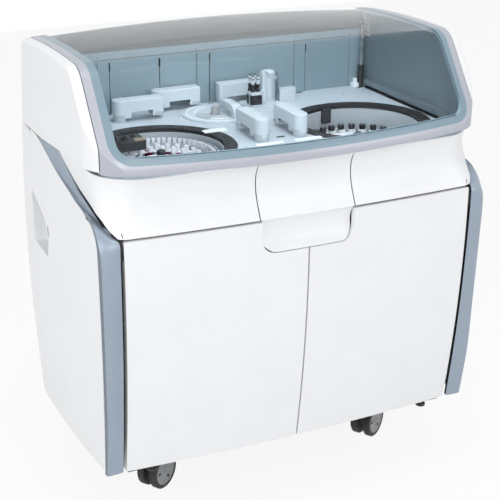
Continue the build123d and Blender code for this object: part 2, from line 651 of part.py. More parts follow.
def reagent_bottles():
    items = []
    for px, py, a in around(CAROUSEL_X, CAROUSEL_Y, BOTTLE_R, BOTTLES):
        low = ROTOR_Z - 5 + 0.3
        cap = Pos(0, 0, low + 24) * extrude(RegularPolygon(8.5, 8), 14)
        body = Pos(0, 0, low + 12) * Box(30, 20, 24) + cap
        items.append(Pos(px, py, 0) * Rot(0, 0, a) * body)
    return solids(*items)


def arm_cover(x, y, turn, probe_hole=True):
    """Hollow cover over a swinging arm: round nose at the post, notch low in both sides."""
    z0 = ARM_LIFT_Z
    z1 = z0 + ARM_H
    r = ARM_W / 2
    wall = 2.0
    length = ARM_L - r

    def slot_shape(inset, a, b):
        rr = r - inset
        nose = cyl(0, 0, a, b, rr)
        tail = slab(0, length - inset, -rr, rr, a, b)
        tail = fillet(tail.edges().filter_by(Axis.Z).sort_by(Axis.X)[-2:], 7 - inset)
        return nose + tail

    body = slot_shape(0, z0, z1)
    body = fillet(body.faces().sort_by(Axis.Z)[-1].edges(), 3.0)
    body -= slot_shape(wall, z0 - 1, z1 - 3)
    body -= slab(26, 84, -50, 50, z0 - 1, z0 + 15)
    body += cyl(0, 0, z0, z1 - 2, POST_R + 4)
    body -= cyl(0, 0, z0 - 2, z1 - 8, POST_R + PIN_PLAY)
    if probe_hole:
        body += cyl(length - 16, 0, z0 + 18, z1 - 2, 6)
        body -= cyl(length - 16, 0, z0, z1 - 8, PROBE_R + PIN_PLAY)
    return Pos(x, y, 0) * Rot(0, 0, turn) * body


def arm_post(x, y):
    shaft = cyl(x, y, 856, ARM_LIFT_Z + ARM_H - 8.3, POST_R)
    drum = cyl(x, y, DECK_Z + 0.3, ARM_LIFT_Z - 0.3, ARM_W / 2 - 1)
    return shaft + drum


def arm_probe(x, y, turn):
    length = ARM_L - ARM_W / 2
    needle = cyl(length - 16, 0, DECK_Z + 4, ARM_LIFT_Z + ARM_H - 8, PROBE_R)
    return Pos(x, y, 0) * Rot(0, 0, turn) * needle


def drive_cover():
    body = slab(8, 140, 206, 242, DECK_Z + 0.3, ARM_LIFT_Z + ARM_H)
    body = fillet(body.edges().filter_by(Axis.Z), 8)
    body = fillet(body.faces().sort_by(Axis.Z)[-1].edges(), 3)
    body -= slab(30, 100, 200, 240, DECK_Z - 1, DECK_Z + 20)
    return body


def deck_platform():
    plate = cyl(-32, 125, DECK_Z + 0.1, DECK_Z + 5, 94) - slab(6, 120, 0, 260, 900, 960)
    plate -= cyl(-46, 114, DECK_Z + 2.5, 960, 14)
    knob = cyl(-46, 114, DECK_Z + 2.6, DECK_Z + 22, 10)
    arch = slab(-22, 2, 46, 150, DECK_Z + 5, DECK_Z + 38)
    arch = fillet(arch.edges().filter_by(Axis.X).sort_by(Axis.Z)[-2:], 30)
    arch -= slab(-30, 10, 66, 132, DECK_Z + 4, DECK_Z + 22)
    return plate + knob + arch


def wash_station():
    base = slab(56, 156, 112, 200, DECK_Z + 0.3, DECK_Z + 7)
    base = fillet(base.edges().filter_by(Axis.Z), 10)
    tower = slab(116, 152, 166, 196, DECK_Z + 6, DECK_Z + 88)
    tower = fillet(tower.edges().filter_by(Axis.Z), 8)
    tower = fillet(tower.faces().sort_by(Axis.Z)[-1].edges(), 7)
    rod = cyl(WASH_X + 26, WASH_Y, DECK_Z + 6, DECK_Z + 96, 5)
    bracket = Pos(190, 178, 0) * prism_z([Polyline((-24, -8, 0), (24, -8, 0), (20, 8, 0), (-20, 8, 0),
                                                   close=True)], DECK_Z + 0.3, DECK_Z + 36)
    slope = prism_x([Polyline(P(150, DECK_Z), P(210, DECK_Z), P(184, DECK_Z + 44), P(174, DECK_Z + 44),
                              close=True)], 160, 220)
    return solids(base + tower + rod, bracket & slope)




def wash_head():
    body = slab(WASH_X - 14, WASH_X + 14, WASH_Y - 16, WASH_Y + 16, DECK_Z + 8, DECK_Z + 46)
    body += cyl(WASH_X + 26, WASH_Y, DECK_Z + 20, DECK_Z + 46, 10)
    body += slab(WASH_X + 10, WASH_X + 26, WASH_Y - 6, WASH_Y + 6, DECK_Z + 22, DECK_Z + 44)
    body -= cyl(WASH_X + 26, WASH_Y, DECK_Z, DECK_Z + 100, 5 + PIN_PLAY)
    for dx, dy in ((-8, -9), (-8, 9), (6, -9), (6, 9)):
        body += cyl(WASH_X + dx, WASH_Y + dy, DECK_Z + 40, DECK_Z + 86, 4)
    return body


def optics_block():
    x0 = -CAROUSEL_X - RING_R1
    beam = slab(x0 - 16, x0 + 90, CAROUSEL_Y + 24, CAROUSEL_Y + 56, DECK_Z + 1.5, DECK_Z + 9)
    foot = slab(x0 - 16, x0 - 3, CAROUSEL_Y + 24, CAROUSEL_Y + 56, DECK_Z + 0.3, DECK_Z + 3)
    head = slab(x0 + 66, x0 + 150, CAROUSEL_Y + 10, CAROUSEL_Y + 74, DECK_Z - 6, DECK_Z + 16)
    head = fillet(head.edges().filter_by(Axis.Z), 6)
    return beam + foot + head


def code_reader():
    x = CAROUSEL_X - 20
    y = CAROUSEL_Y + math.sqrt((TUB_R - TUB_WALL) ** 2 - 34 ** 2)
    body = slab(x - 13, x + 13, y - 7, y - 0.3, 884, DECK_Z - 1)
    return fillet(body.edges().filter_by(Axis.Y), 3)


# ---------------------------------------------------------------- frame and cabinet
UPRIGHT_X = 451.0
UPRIGHT_FRONT_Y = -155.0
UPRIGHT_REAR_Y = 274.0
BEAM_FRONT_Y = -262.0
ARM_HEIGHTS = (300.0, 780.0)     # outriggers that carry the side panels
RAIL_TOP_Z = DECK_Z - DECK_T - 4.6


def base_frame():
    body = slab(-466, 466, BASE_FRONT_Y, BASE_REAR_Y, BASE_Z0, BASE_Z0 + BASE_T)
    body -= slab(-380, 380, -20, 180, BASE_Z0 - 5, BASE_Z0 + 12)
    body += slab(-440, 440, -252, -140, STEP_Z + 6, STEP_Z + 12)
    body += slab(-440, 440, -160, -150, BASE_Z0 + 5, STEP_Z + 10)
    for side in (-1, 1):
        for y in (UPRIGHT_FRONT_Y - TUBE, UPRIGHT_REAR_Y - TUBE):
            x = side * UPRIGHT_X
            body += slab(x - TUBE / 2, x + TUBE / 2, y, y + TUBE, BASE_Z0 + 5, RAIL_TOP_Z)
        edge = sorted((side * (UPRIGHT_X - TUBE / 2), side * (UPRIGHT_X + TUBE / 2)))
        beam = sorted((side * (STRUT_X + STRUT_R + 2.5), side * (UPRIGHT_X + TUBE / 2)))
        body += slab(beam[0], beam[1], BEAM_FRONT_Y, UPRIGHT_REAR_Y, RAIL_TOP_Z - 30, RAIL_TOP_Z)
        body += slab(edge[0], edge[1], -272, UPRIGHT_FRONT_Y, 798, 803)
        arm_x = sorted((side * (UPRIGHT_X + 10), side * (HALF_W - SKIN)))
        for z in ARM_HEIGHTS:
            body += slab(arm_x[0], arm_x[1], UPRIGHT_FRONT_Y - TUBE, UPRIGHT_FRONT_Y, z, z + 30)
            body += slab(arm_x[0], arm_x[1], UPRIGHT_REAR_Y - TUBE, UPRIGHT_REAR_Y, z, z + 30)
        hold_x = sorted((side * (UPRIGHT_X + 10), side * (UPPER_HALF - 8.3)))
        body += slab(hold_x[0], hold_x[1], 100, 130, RAIL_TOP_Z - 20, RAIL_TOP_Z - 4)
        tab = cyl(side * PIVOT_X, PIVOT_Y, STEP_Z + 6, STEP_Z + 12, 12)
        tab += slab(side * PIVOT_X - 12, side * PIVOT_X + 12, PIVOT_Y, -240, STEP_Z + 6, STEP_Z + 12)
        body += tab
        swivel = side * CASTER_X
        body -= cyl(swivel, CASTER_FRONT_Y, 0, 300, STEM_R + PIN_PLAY)
        body -= cyl(swivel, CASTER_REAR_Y, 0, 300, STEM_R + PIN_PLAY)
    body += slab(-UPRIGHT_X, UPRIGHT_X, BEAM_FRONT_Y, BEAM_FRONT_Y + 22, RAIL_TOP_Z - 30, RAIL_TOP_Z)
    body += slab(-UPRIGHT_X, UPRIGHT_X, UPRIGHT_REAR_Y - 12, UPRIGHT_REAR_Y, RAIL_TOP_Z - 30, RAIL_TOP_Z)
    ledge_y = WAIST_FLARE_Y + 14
    ledge = make_face([Polyline(P(ledge_y, 798), P(-242, 798), P(-242, 803), P(ledge_y, 803), close=True)])
    body += bowed(ledge, DOOR_FACE_Y + DOOR_BOW_R, 440) & slab(-440, 440, -400, 0, 700, 900)
    for side in (-1, 1):
        body -= cyl(side * PIVOT_X, PIVOT_Y, STEP_Z, STEP_Z + 20, PIVOT_R + PIN_PLAY)
        body -= cyl(side * PIVOT_X, PIVOT_Y, 790, 810, PIVOT_R + PIN_PLAY)
    return body


def hinge_pins():
    pins = []
    for side in (-1, 1):
        pins.append(cyl(side * PIVOT_X, PIVOT_Y, STEP_Z + 6, DOOR_Z0 + 6, PIVOT_R))
        pins.append(cyl(side * PIVOT_X, PIVOT_Y, DOOR_Z1 - 6, 806, PIVOT_R))
        span = sorted((side * 451, side * (CHEEK_X + 10)))
        pins.append(cyl_x(span[0], span[1], HINGE_Y, HINGE_Z, HINGE_R))
    return solids(*pins)


def cabinet_liner():
    x = 430.0
    z0 = BASE_Z0 + BASE_T + 0.3
    body = slab(-x, x, -138, UPRIGHT_REAR_Y - TUBE - 0.5, z0, 780)
    body -= slab(-x + 2, x - 2, -150, UPRIGHT_REAR_Y - TUBE - 2.5, z0 + 2, 778)
    body += slab(-x + 1, x - 1, -130, UPRIGHT_REAR_Y - TUBE - 1, 458, 461)
    return body


def rear_arc(inset):
    return ThreePointArc(P(311 - inset, 916), P(REAR_Y - inset, 540), P(281 - inset, 163))


def rear_panel():
    outer = rear_arc(2.0)
    inner = rear_arc(2.0 + SKIN)
    x = HALF_W - PANEL_T - 0.3
    edges = [outer, Line(outer @ 1, inner @ 1), inner, Line(inner @ 0, outer @ 0)]
    body = prism_x(edges, -x, x) & slab(-x, x, 200, 400, 205, 913)
    louvres = [slab(side * 210 - 90, side * 210 + 90, 250, 400, 330 + 16 * i, 336 + 16 * i)
               for side in (-1, 1) for i in range(8)]
    return body - louvres


# ---------------------------------------------------------------- casters
STEM_R = 8.0


def caster(x, y):
    """Twin-wheel caster as (housing, wheels), swivelled as it stands."""
    dx = -CASTER_TRAIL
    spine = slab(-46 + dx, 16, -8, 8, 46, 104) - cyl(0, 0, 0, 1, 1)
    spine = fillet(spine.edges().filter_by(Axis.Y).sort_by(Axis.X)[:1], 20)
    hood = Pos(dx, 0, WHEEL_R) * Rot(90, 0, 0) * Cylinder(WHEEL_R + 8, 62)
    hood -= Pos(dx, 0, WHEEL_R) * Rot(90, 0, 0) * Cylinder(WHEEL_R + 4, 80)
    hood &= slab(-30 + dx, 80, -40, 40, WHEEL_R + 26, 200)
    web = slab(dx - 20, 20, -8, 8, 80, WHEEL_R + WHEEL_R + 6)
    neck = cyl(0, 0, 90, 122, 18)
    neck -= Pos(dx, 0, WHEEL_R) * Rot(90, 0, 0) * (Cylinder(WHEEL_R + 2, 200) - Cylinder(WHEEL_R + 2.1, WHEEL_GAP - 2))
    stem = cyl(0, 0, 118, BASE_Z0 + BASE_T - 4, STEM_R)
    collar = cyl(0, 0, 118, BASE_Z0 - 0.3, 20)
    housing = spine + web + hood + neck + stem + collar
    bore = Pos(dx, 0, WHEEL_R) * Rot(90, 0, 0) * Cylinder(AXLE_R + PIN_PLAY, 100)
    housing -= bore
    wheels = Pos(dx, 0, WHEEL_R) * Rot(90, 0, 0) * Cylinder(AXLE_R, WHEEL_GAP + 4)
    for side in (-1, 1):
        tyre = Pos(dx, side * (WHEEL_GAP + WHEEL_T) / 2, WHEEL_R) * Rot(90, 0, 0) * Cylinder(WHEEL_R, WHEEL_T)
        tyre = chamfer(tyre.edges(), 3)
        face = Pos(dx, side * (WHEEL_GAP / 2 + WHEEL_T), WHEEL_R) * Rot(90, 0, 0) * Cylinder(WHEEL_R - 11, 5)
        wheels += tyre - face
    place = Pos(x, y, 0) * Rot(0, 0, CASTER_TURN - 90)
    return place * housing, place * wheels


# ---------------------------------------------------------------- write every piece
def write_all():
    door = door_right()
    save(mirrored(door), "left_door")
    save(door, "right_door")
    upper = upper_panels()
    save(mirrored(upper), "left_upper_panel")
    save(upper, "right_upper_panel")
    save(centre_panel(), "centre_panel")
    panel = side_panel_right()
    save(mirrored(panel), "left_side_panel")
    save(panel, "right_side_panel")
    column, swoosh = trim_right()
    save(solids(mirrored(column), mirrored(swoosh)), "left_trim")
    save(solids(column, swoosh), "right_trim")
    frame, strip, glass = lid_parts()
    save(frame, "lid_frame")
    save(strip, "lid_strip")
    save(glass, "lid_window")
    cheek = cheek_right()
    save(mirrored(cheek), "left_cheek")
    save(cheek, "right_cheek")
    save(header(), "hood_header")
    save(back_liner(), "back_liner")
    liner = side_liner_right(hood_block(FRAME_T + 3))
    save(solids(mirrored(liner), liner), "side_liners")
    barrel, rod = strut_right()
    save(mirrored(barrel), "left_strut_barrel")
    save(barrel, "right_strut_barrel")
    save(mirrored(rod), "left_strut_rod")
    save(rod, "right_strut_rod")
    bracket = strut_bracket_right()
    save(solids(mirrored(bracket), bracket), "strut_brackets")
    save(deck_plate(), "deck_plate")
    save(deck_rings(), "deck_rings")
    save(tub(-CAROUSEL_X), "sample_tub")
    save(tub(CAROUSEL_X), "reagent_tub")
    save(sample_rotor(), "sample_rotor")
    save(sample_vessels(), "sample_vessels")
    save(reagent_rotor(), "reagent_rotor")
    save(reagent_bottles(), "reagent_bottles")
    for name, (x, y, turn) in arm_frames().items():
        has_probe = name != "b"
        save(arm_cover(x, y, turn, has_probe), "arm_" + name + "_cover")
        save(arm_post(x, y), "arm_" + name + "_post")
        if has_probe:
            save(arm_probe(x, y, turn), "arm_" + name + "_probe")
    save(drive_cover(), "drive_cover")
    save(deck_platform(), "deck_platform")
    save(wash_station(), "wash_station")
    save(wash_head(), "wash_head")
    save(optics_block(), "optics_block")
    save(code_reader(), "code_reader")
    save(base_frame(), "base_frame")
    save(hinge_pins(), "hinge_pins")
    save(cabinet_liner(), "cabinet_liner")
    save(rear_panel(), "rear_panel")
    for end, y in (("front", CASTER_FRONT_Y), ("rear", CASTER_REAR_Y)):
        for side, x in (("left", -CASTER_X), ("right", CASTER_X)):
            housing, wheels = caster(x, y)
            save(housing, end + "_" + side + "_caster_fork")
            save(wheels, end + "_" + side + "_caster_wheels")


write_all()
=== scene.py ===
import json
import math

import bmesh
import bpy
from mathutils import Matrix, Vector


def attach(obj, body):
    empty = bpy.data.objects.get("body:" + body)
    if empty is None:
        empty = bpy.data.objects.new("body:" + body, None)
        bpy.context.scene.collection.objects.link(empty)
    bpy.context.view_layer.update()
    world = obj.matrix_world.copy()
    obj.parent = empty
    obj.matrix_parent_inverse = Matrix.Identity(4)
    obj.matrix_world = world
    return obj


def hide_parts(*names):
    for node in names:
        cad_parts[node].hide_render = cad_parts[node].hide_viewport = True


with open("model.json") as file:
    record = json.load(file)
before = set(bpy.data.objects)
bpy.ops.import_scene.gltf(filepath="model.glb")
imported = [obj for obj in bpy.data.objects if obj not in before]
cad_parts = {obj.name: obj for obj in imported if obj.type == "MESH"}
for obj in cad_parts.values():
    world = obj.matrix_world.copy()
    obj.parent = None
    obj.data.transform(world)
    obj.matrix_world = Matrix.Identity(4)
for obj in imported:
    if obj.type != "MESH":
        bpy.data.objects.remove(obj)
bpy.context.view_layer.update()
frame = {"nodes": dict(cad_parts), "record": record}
NODES = frame["nodes"]
MM = 0.001


# ---------------------------------------------------------------- camera, floor and light
CAMERA_AT = Vector((-1.1994, -2.5717, 1.7255))
CAMERA_AZIMUTH = math.radians(24.2)      # the view looks to the right of +Y by this much
CAMERA_DOWN = math.radians(22.1)
CAMERA_ROLL = -0.003
CAMERA_LENS = 84.43                      # millimetres on a 36 mm sensor
CAMERA_SHIFT = (0.031, 0.010)


def add_camera():
    forward = Vector((math.sin(CAMERA_AZIMUTH) * math.cos(CAMERA_DOWN),
                      math.cos(CAMERA_AZIMUTH) * math.cos(CAMERA_DOWN), -math.sin(CAMERA_DOWN)))
    right = forward.cross(Vector((0, 0, 1))).normalized()
    up = right.cross(forward)
    turn = Matrix((right, up, -forward)).transposed().to_4x4()
    data = bpy.data.cameras.new("camera")
    data.lens = CAMERA_LENS
    data.sensor_width = 36.0
    data.shift_x, data.shift_y = CAMERA_SHIFT
    data.clip_start = 0.05
    camera = bpy.data.objects.new("camera", data)
    camera.matrix_world = Matrix.Translation(CAMERA_AT) @ turn @ Matrix.Rotation(CAMERA_ROLL, 4, "Z")
    bpy.context.collection.objects.link(camera)
    bpy.context.scene.camera = camera


def backdrop_fac(nodes, links):
    """1 on camera, glossy and transmission rays, else 0."""
    path = nodes.new("ShaderNodeLightPath")
    first = nodes.new("ShaderNodeMath")
    first.operation = "MAXIMUM"
    links.new(path.outputs["Is Camera Ray"], first.inputs[0])
    links.new(path.outputs["Is Glossy Ray"], first.inputs[1])
    second = nodes.new("ShaderNodeMath")
    second.operation = "MAXIMUM"
    links.new(first.outputs[0], second.inputs[0])
    links.new(path.outputs["Is Transmission Ray"], second.inputs[1])
    return second.outputs[0]


WORLD_LIGHT = 0.50
FLOOR_GLOW = 0.90            # share of plain white in the floor as the camera sees it


def set_world():
    world = bpy.data.worlds.new("studio")
    bpy.context.scene.world = world
    world.use_nodes = True
    nodes, links = world.node_tree.nodes, world.node_tree.links
    nodes.clear()
    out = nodes.new("ShaderNodeOutputWorld")
    mix = nodes.new("ShaderNodeMixShader")
    soft = nodes.new("ShaderNodeBackground")
    soft.inputs["Color"].default_value = (0.96, 0.98, 1.0, 1)
    soft.inputs["Strength"].default_value = WORLD_LIGHT
    white = nodes.new("ShaderNodeBackground")
    white.inputs["Color"].default_value = (1, 1, 1, 1)
    white.inputs["Strength"].default_value = 1.0
    links.new(backdrop_fac(nodes, links), mix.inputs["Fac"])
    links.new(soft.outputs[0], mix.inputs[1])
    links.new(white.outputs[0], mix.inputs[2])
    links.new(mix.outputs[0], out.inputs["Surface"])


def add_floor():
    mesh = bpy.data.meshes.new("floor")
    bm = bmesh.new()
    bmesh.ops.create_grid(bm, x_segments=2, y_segments=2, size=6.0)
    bm.to_mesh(mesh)
    bm.free()
    floor = bpy.data.objects.new("floor", mesh)
    bpy.context.collection.objects.link(floor)
    material = bpy.data.materials.new("floor_white")
    material.use_nodes = True
    nodes, links = material.node_tree.nodes, material.node_tree.links
    nodes.clear()
    out = nodes.new("ShaderNodeOutputMaterial")
    diffuse = nodes.new("ShaderNodeBsdfDiffuse")
    diffuse.inputs["Color"].default_value = (0.88, 0.88, 0.88, 1)
    glow = nodes.new("ShaderNodeEmission")
    glow.inputs["Strength"].default_value = 1.0
    share = nodes.new("ShaderNodeMath")
    share.operation = "MULTIPLY"
    share.inputs[1].default_value = FLOOR_GLOW
    links.new(backdrop_fac(nodes, links), share.inputs[0])
    mix = nodes.new("ShaderNodeMixShader")
    links.new(share.outputs[0], mix.inputs["Fac"])
    links.new(diffuse.outputs[0], mix.inputs[1])
    links.new(glow.outputs[0], mix.inputs[2])
    links.new(mix.outputs[0], out.inputs["Surface"])
    mesh.materials.append(material)


def add_lamp(name, at, aim, size, power, colour=(1, 1, 1)):
    data = bpy.data.lights.new(name, "AREA")
    data.shape = "RECTANGLE"
    data.size, data.size_y = size
    data.energy = power
    data.color = colour
    lamp = bpy.data.objects.new(name, data)
    direction = Vector(aim) - Vector(at)
    lamp.matrix_world = Matrix.Translation(at) @ direction.to_track_quat("-Z", "Y").to_matrix().to_4x4()
    lamp.visible_camera = False
    bpy.context.collection.objects.link(lamp)


def add_lamps():
    add_lamp("key_lamp", (-1.2, -3.6, 2.6), (0, -0.2, 0.7), (2.6, 2.2), 54)
    add_lamp("right_lamp", (2.6, -3.4, 1.9), (0.1, -0.2, 0.7), (2.0, 2.0), 26)
    add_lamp("left_lamp", (-3.4, -0.6, 1.8), (0, 0, 0.7), (2.2, 2.0), 34)
    add_lamp("top_lamp", (0.1, -0.4, 3.0), (0, 0.2, 0.95), (0.9, 0.7), 13, (0.97, 0.99, 1.0))


# ---------------------------------------------------------------- materials
def new_material(name):
    material = bpy.data.materials.new(name)
    material.use_nodes = True
    nodes, links = material.node_tree.nodes, material.node_tree.links
    return material, nodes, links, nodes["Principled BSDF"]


def noise(nodes, links, scale, detail, rough, stretch=(1, 1, 1)):
    """A noise field on object coordinates, stretched along its axes."""
    place = nodes.new("ShaderNodeTexCoord")
    mapping = nodes.new("ShaderNodeMapping")
    mapping.inputs["Scale"].default_value = stretch
    field = nodes.new("ShaderNodeTexNoise")
    field.inputs["Scale"].default_value = scale
    field.inputs["Detail"].default_value = detail
    field.inputs["Roughness"].default_value = rough
    links.new(place.outputs["Object"], mapping.inputs["Vector"])
    links.new(mapping.outputs["Vector"], field.inputs["Vector"])
    return field.outputs["Fac"]


RAMP_AT = (0.35, 0.65)       # noise values between which a ramp goes from low to high


def ramp(nodes, links, fac, low, high):
    node = nodes.new("ShaderNodeValToRGB")
    for element, position, colour in zip(node.color_ramp.elements, RAMP_AT, (low, high)):
        element.position = position
        element.color = colour
    links.new(fac, node.inputs["Fac"])
    return node.outputs["Color"]


def grey(value):
    return (value, value, value, 1)


def tint(colour, factor):
    return tuple(min(1.0, c * factor) for c in colour) + (1,)


BUMP_DEPTH = 0.0004          # metres
COAT_ROUGHNESS = 0.12


def finish_material(name, colour, spread, rough, metallic=0.0, grain=60.0, bump=0.05, bump_scale=900.0,
                    coat=0.0, stretch=(1, 1, 1)):
    """A moulded or painted surface: slight drift of colour, uneven gloss and a fine skin."""
    material, nodes, links, bsdf = new_material(name)
    drift = noise(nodes, links, grain * 0.12, 4.0, 0.6, stretch)
    links.new(ramp(nodes, links, drift, tint(colour, 1 - spread), tint(colour, 1 + spread)),
              bsdf.inputs["Base Color"])
    gloss = noise(nodes, links, grain, 3.0, 0.5, stretch)
    links.new(ramp(nodes, links, gloss, grey(rough[0]), grey(rough[1])), bsdf.inputs["Roughness"])
    skin = noise(nodes, links, bump_scale, 2.0, 0.5, stretch)
    relief = nodes.new("ShaderNodeBump")
    relief.inputs["Strength"].default_value = bump
    relief.inputs["Distance"].default_value = BUMP_DEPTH
    links.new(skin, relief.inputs["Height"])
    links.new(relief.outputs["Normal"], bsdf.inputs["Normal"])
    bsdf.inputs["Metallic"].default_value = metallic
    bsdf.inputs["Coat Weight"].default_value = coat
    bsdf.inputs["Coat Roughness"].default_value = COAT_ROUGHNESS
    return material


def clear_material(name, colour, roughness, ior):
    """Clear moulding that lets light through to what lies behind it."""
    material, nodes, links, bsdf = new_material(name)
    bsdf.inputs["Transmission Weight"].default_value = 1.0
    bsdf.inputs["IOR"].default_value = ior
    haze = noise(nodes, links, 3.0, 2.0, 0.5)
    links.new(ramp(nodes, links, haze, grey(roughness * 0.6), grey(roughness * 1.6)),
              bsdf.inputs["Roughness"])
    drift = noise(nodes, links, 1.5, 2.0, 0.5)
    links.new(ramp(nodes, links, drift, tint(colour, 0.99), tint(colour, 1.01)), bsdf.inputs["Base Color"])
    out = nodes["Material Output"]
    path = nodes.new("ShaderNodeLightPath")
    through = nodes.new("ShaderNodeBsdfTransparent")
    through.inputs["Color"].default_value = tuple(colour) + (1,)
    mix = nodes.new("ShaderNodeMixShader")
    links.new(path.outputs["Is Shadow Ray"], mix.inputs["Fac"])
    links.new(bsdf.outputs[0], mix.inputs[1])
    links.new(through.outputs[0], mix.inputs[2])
    links.new(mix.outputs[0], out.inputs["Surface"])
    return material


# colour, spread of the colour, range of roughness, and what else finish_material takes
FINISHES = {
    "moulded_white": ((0.86, 0.865, 0.875), 0.012, (0.34, 0.44), {"bump": 0.06, "coat": 0.15}),
    "trim_blue_grey": ((0.315, 0.375, 0.45), 0.03, (0.34, 0.42),
                       {"metallic": 0.2, "bump": 0.02, "coat": 0.1}),
    "frame_silver": ((0.45, 0.465, 0.52), 0.02, (0.34, 0.42), {"metallic": 0.2, "bump": 0.02, "coat": 0.1}),
    "strip_slate": ((0.22, 0.31, 0.37), 0.02, (0.30, 0.38), {"bump": 0.04, "coat": 0.2}),
    "hood_grey": ((0.20, 0.27, 0.31), 0.04, (0.42, 0.55), {"bump": 0.10, "bump_scale": 1500}),
    # painted shade: a darker grey for the header, standing for the shade at the top of the hood
    "header_painted_shade": ((0.115, 0.125, 0.13), 0.03, (0.42, 0.55), {"bump": 0.06}),
    # painted shade: the hood's grey at six tenths, for the side liners
    "side_liner_painted_shade": ((0.12, 0.16, 0.185), 0.04, (0.42, 0.55), {"bump": 0.06}),
    "trim_shadow": ((0.13, 0.165, 0.21), 0.03, (0.36, 0.44), {"metallic": 0.2, "bump": 0.02}),
    # painted shade: grey for the sheet on the side grip's floor, where the recess lies in shade
    "grip_painted_shade": ((0.42, 0.42, 0.43), 0.03, (0.40, 0.50), {"bump": 0.04}),
    "deck_grey": ((0.43, 0.49, 0.55), 0.02, (0.38, 0.48), {"bump": 0.12, "bump_scale": 2200}),
    "tub_grey": ((0.36, 0.40, 0.44), 0.04, (0.40, 0.50), {"bump": 0.08}),
    "ring_black": ((0.012, 0.012, 0.014), 0.1, (0.45, 0.6), {"bump": 0.15}),
    "arm_grey": ((0.47, 0.53, 0.58), 0.02, (0.36, 0.44), {"bump": 0.10, "bump_scale": 1800, "coat": 0.1}),
    "steel": ((0.55, 0.56, 0.58), 0.05, (0.18, 0.34),
              {"metallic": 1.0, "grain": 400, "bump": 0.08, "stretch": (1, 1, 0.08)}),
    "chassis": ((0.022, 0.024, 0.027), 0.1, (0.5, 0.62), {"bump": 0.2, "bump_scale": 1400}),
    "vessel_clear": ((0.72, 0.74, 0.80), 0.06, (0.12, 0.22), {"grain": 200, "bump": 0.03}),
    "bottle": ((0.60, 0.64, 0.68), 0.05, (0.25, 0.35), {"grain": 200, "bump": 0.03}),
    "caster_black": ((0.018, 0.018, 0.02), 0.1, (0.38, 0.5), {"bump": 0.15}),
    "tyre_black": ((0.02, 0.02, 0.021), 0.15, (0.55, 0.7), {"bump": 0.3, "bump_scale": 1200}),
    "liquid_pink": ((0.62, 0.07, 0.26), 0.1, (0.1, 0.18), {"grain": 200}),
    "liquid_wine": ((0.16, 0.012, 0.05), 0.1, (0.1, 0.18), {"grain": 200}),
    "liquid_amber": ((0.70, 0.45, 0.45), 0.1, (0.1, 0.18), {"grain": 200}),
    "cap_black": ((0.014, 0.014, 0.017), 0.15, (0.3, 0.42), {"grain": 120, "bump": 0.1}),
    "white_plastic": ((0.74, 0.78, 0.83), 0.02, (0.34, 0.44), {"bump": 0.06}),
    "gasket": ((0.01, 0.01, 0.011), 0.1, (0.6, 0.75), {"bump": 0.2}),
    "disc_grey": ((0.30, 0.31, 0.32), 0.06, (0.36, 0.5), {"bump": 0.1}),
    "deck_white": ((0.70, 0.76, 0.83), 0.02, (0.35, 0.45), {"bump": 0.08}),
    "beige_fin": ((0.42, 0.35, 0.26), 0.06, (0.4, 0.5), {"bump": 0.1}),
    # dark for the back wall's seams, and painted shade for the slots in the deck, the back wall and the
    # wheels
    "seam_dark_and_slot_shade": ((0.008, 0.009, 0.01), 0.1, (0.6, 0.75), {"bump": 0.1}),
}
MATERIALS = {name: finish_material(name, colour, spread, rough, **more)
             for name, (colour, spread, rough, more) in FINISHES.items()}
MATERIALS["clear_window"] = clear_material("clear_window", (0.93, 0.955, 0.965), 0.015, 1.07)
MATERIALS["cover_clear"] = clear_material("cover_clear", (0.92, 0.95, 0.97), 0.12, 1.3)

SLOT_OF_NODE = {part["node"]: part["material_slot"] for part in frame["record"]["subparts"]}
# the header and the side liners take darker greys than the hood's liner: painted shade
OWN_FINISH = {"hood_header": "header_painted_shade", "side_liners": "side_liner_painted_shade"}


def dress_cad_nodes():
    for name, node in NODES.items():
        node.data.materials.clear()
        node.data.materials.append(MATERIALS[OWN_FINISH.get(name, SLOT_OF_NODE[name])])
        for polygon in node.data.polygons:
            polygon.material_index = 0


# ---------------------------------------------------------------- mesh helpers
SHARP_ANGLE = math.radians(38)
TIP = 0.01                   # radius in millimetres that closes a turned shape at its axis
OFF_AXIS = Vector((0.13, 0.91, 0.39))            # a direction that no tube runs in


def finish_piece(name, bm, material, body, smooth=True, bevel=0.0):
    """Turn a bmesh into a piece that rides on a body."""
    bmesh.ops.recalc_face_normals(bm, faces=bm.faces)
    mesh = bpy.data.meshes.new(name)
    bm.to_mesh(mesh)
    bm.free()
    piece = bpy.data.objects.new(name, mesh)
    bpy.context.collection.objects.link(piece)
    mesh.materials.append(MATERIALS[material])
    if smooth:
        mesh.polygons.foreach_set("use_smooth", [True] * len(mesh.polygons))
        mesh.set_sharp_from_angle(angle=SHARP_ANGLE)
    if bevel:
        edge = piece.modifiers.new("edge", "BEVEL")
        edge.width = bevel
        edge.segments = 2
        edge.limit_method = "ANGLE"
    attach(piece, body)
    return piece


def join_loops(bm, low, high):
    """Faces between two closed loops of vertices."""
    n = len(low)
    for k in range(n):
        bm.faces.new((low[k], low[(k + 1) % n], high[(k + 1) % n], high[k]))


def lathe(bm, centre, profile, segments, start=0.0, sweep=math.tau):
    """Turn (radius, height) pairs about an upright axis through centre, all in millimetres."""
    closed = abs(sweep - math.tau) < 1e-6
    count = segments if closed else segments + 1
    rings = []
    for r, z in profile:
        ring = []
        for i in range(count):
            a = start + sweep * i / segments
            x, y = centre[0] + r * math.cos(a), centre[1] + r * math.sin(a)
            ring.append(bm.verts.new((x * MM, y * MM, z * MM)))
        rings.append(ring)
    for low, high in zip(rings, rings[1:]):
        for i in range(segments):
            j = (i + 1) % count
            bm.faces.new((low[i], low[j], high[j], high[i]))
    if closed and profile[0] != profile[-1]:
        for ring, (r, _) in ((rings[0], profile[0]), (rings[-1], profile[-1])):
            if r > TIP:
                bm.faces.new(ring)


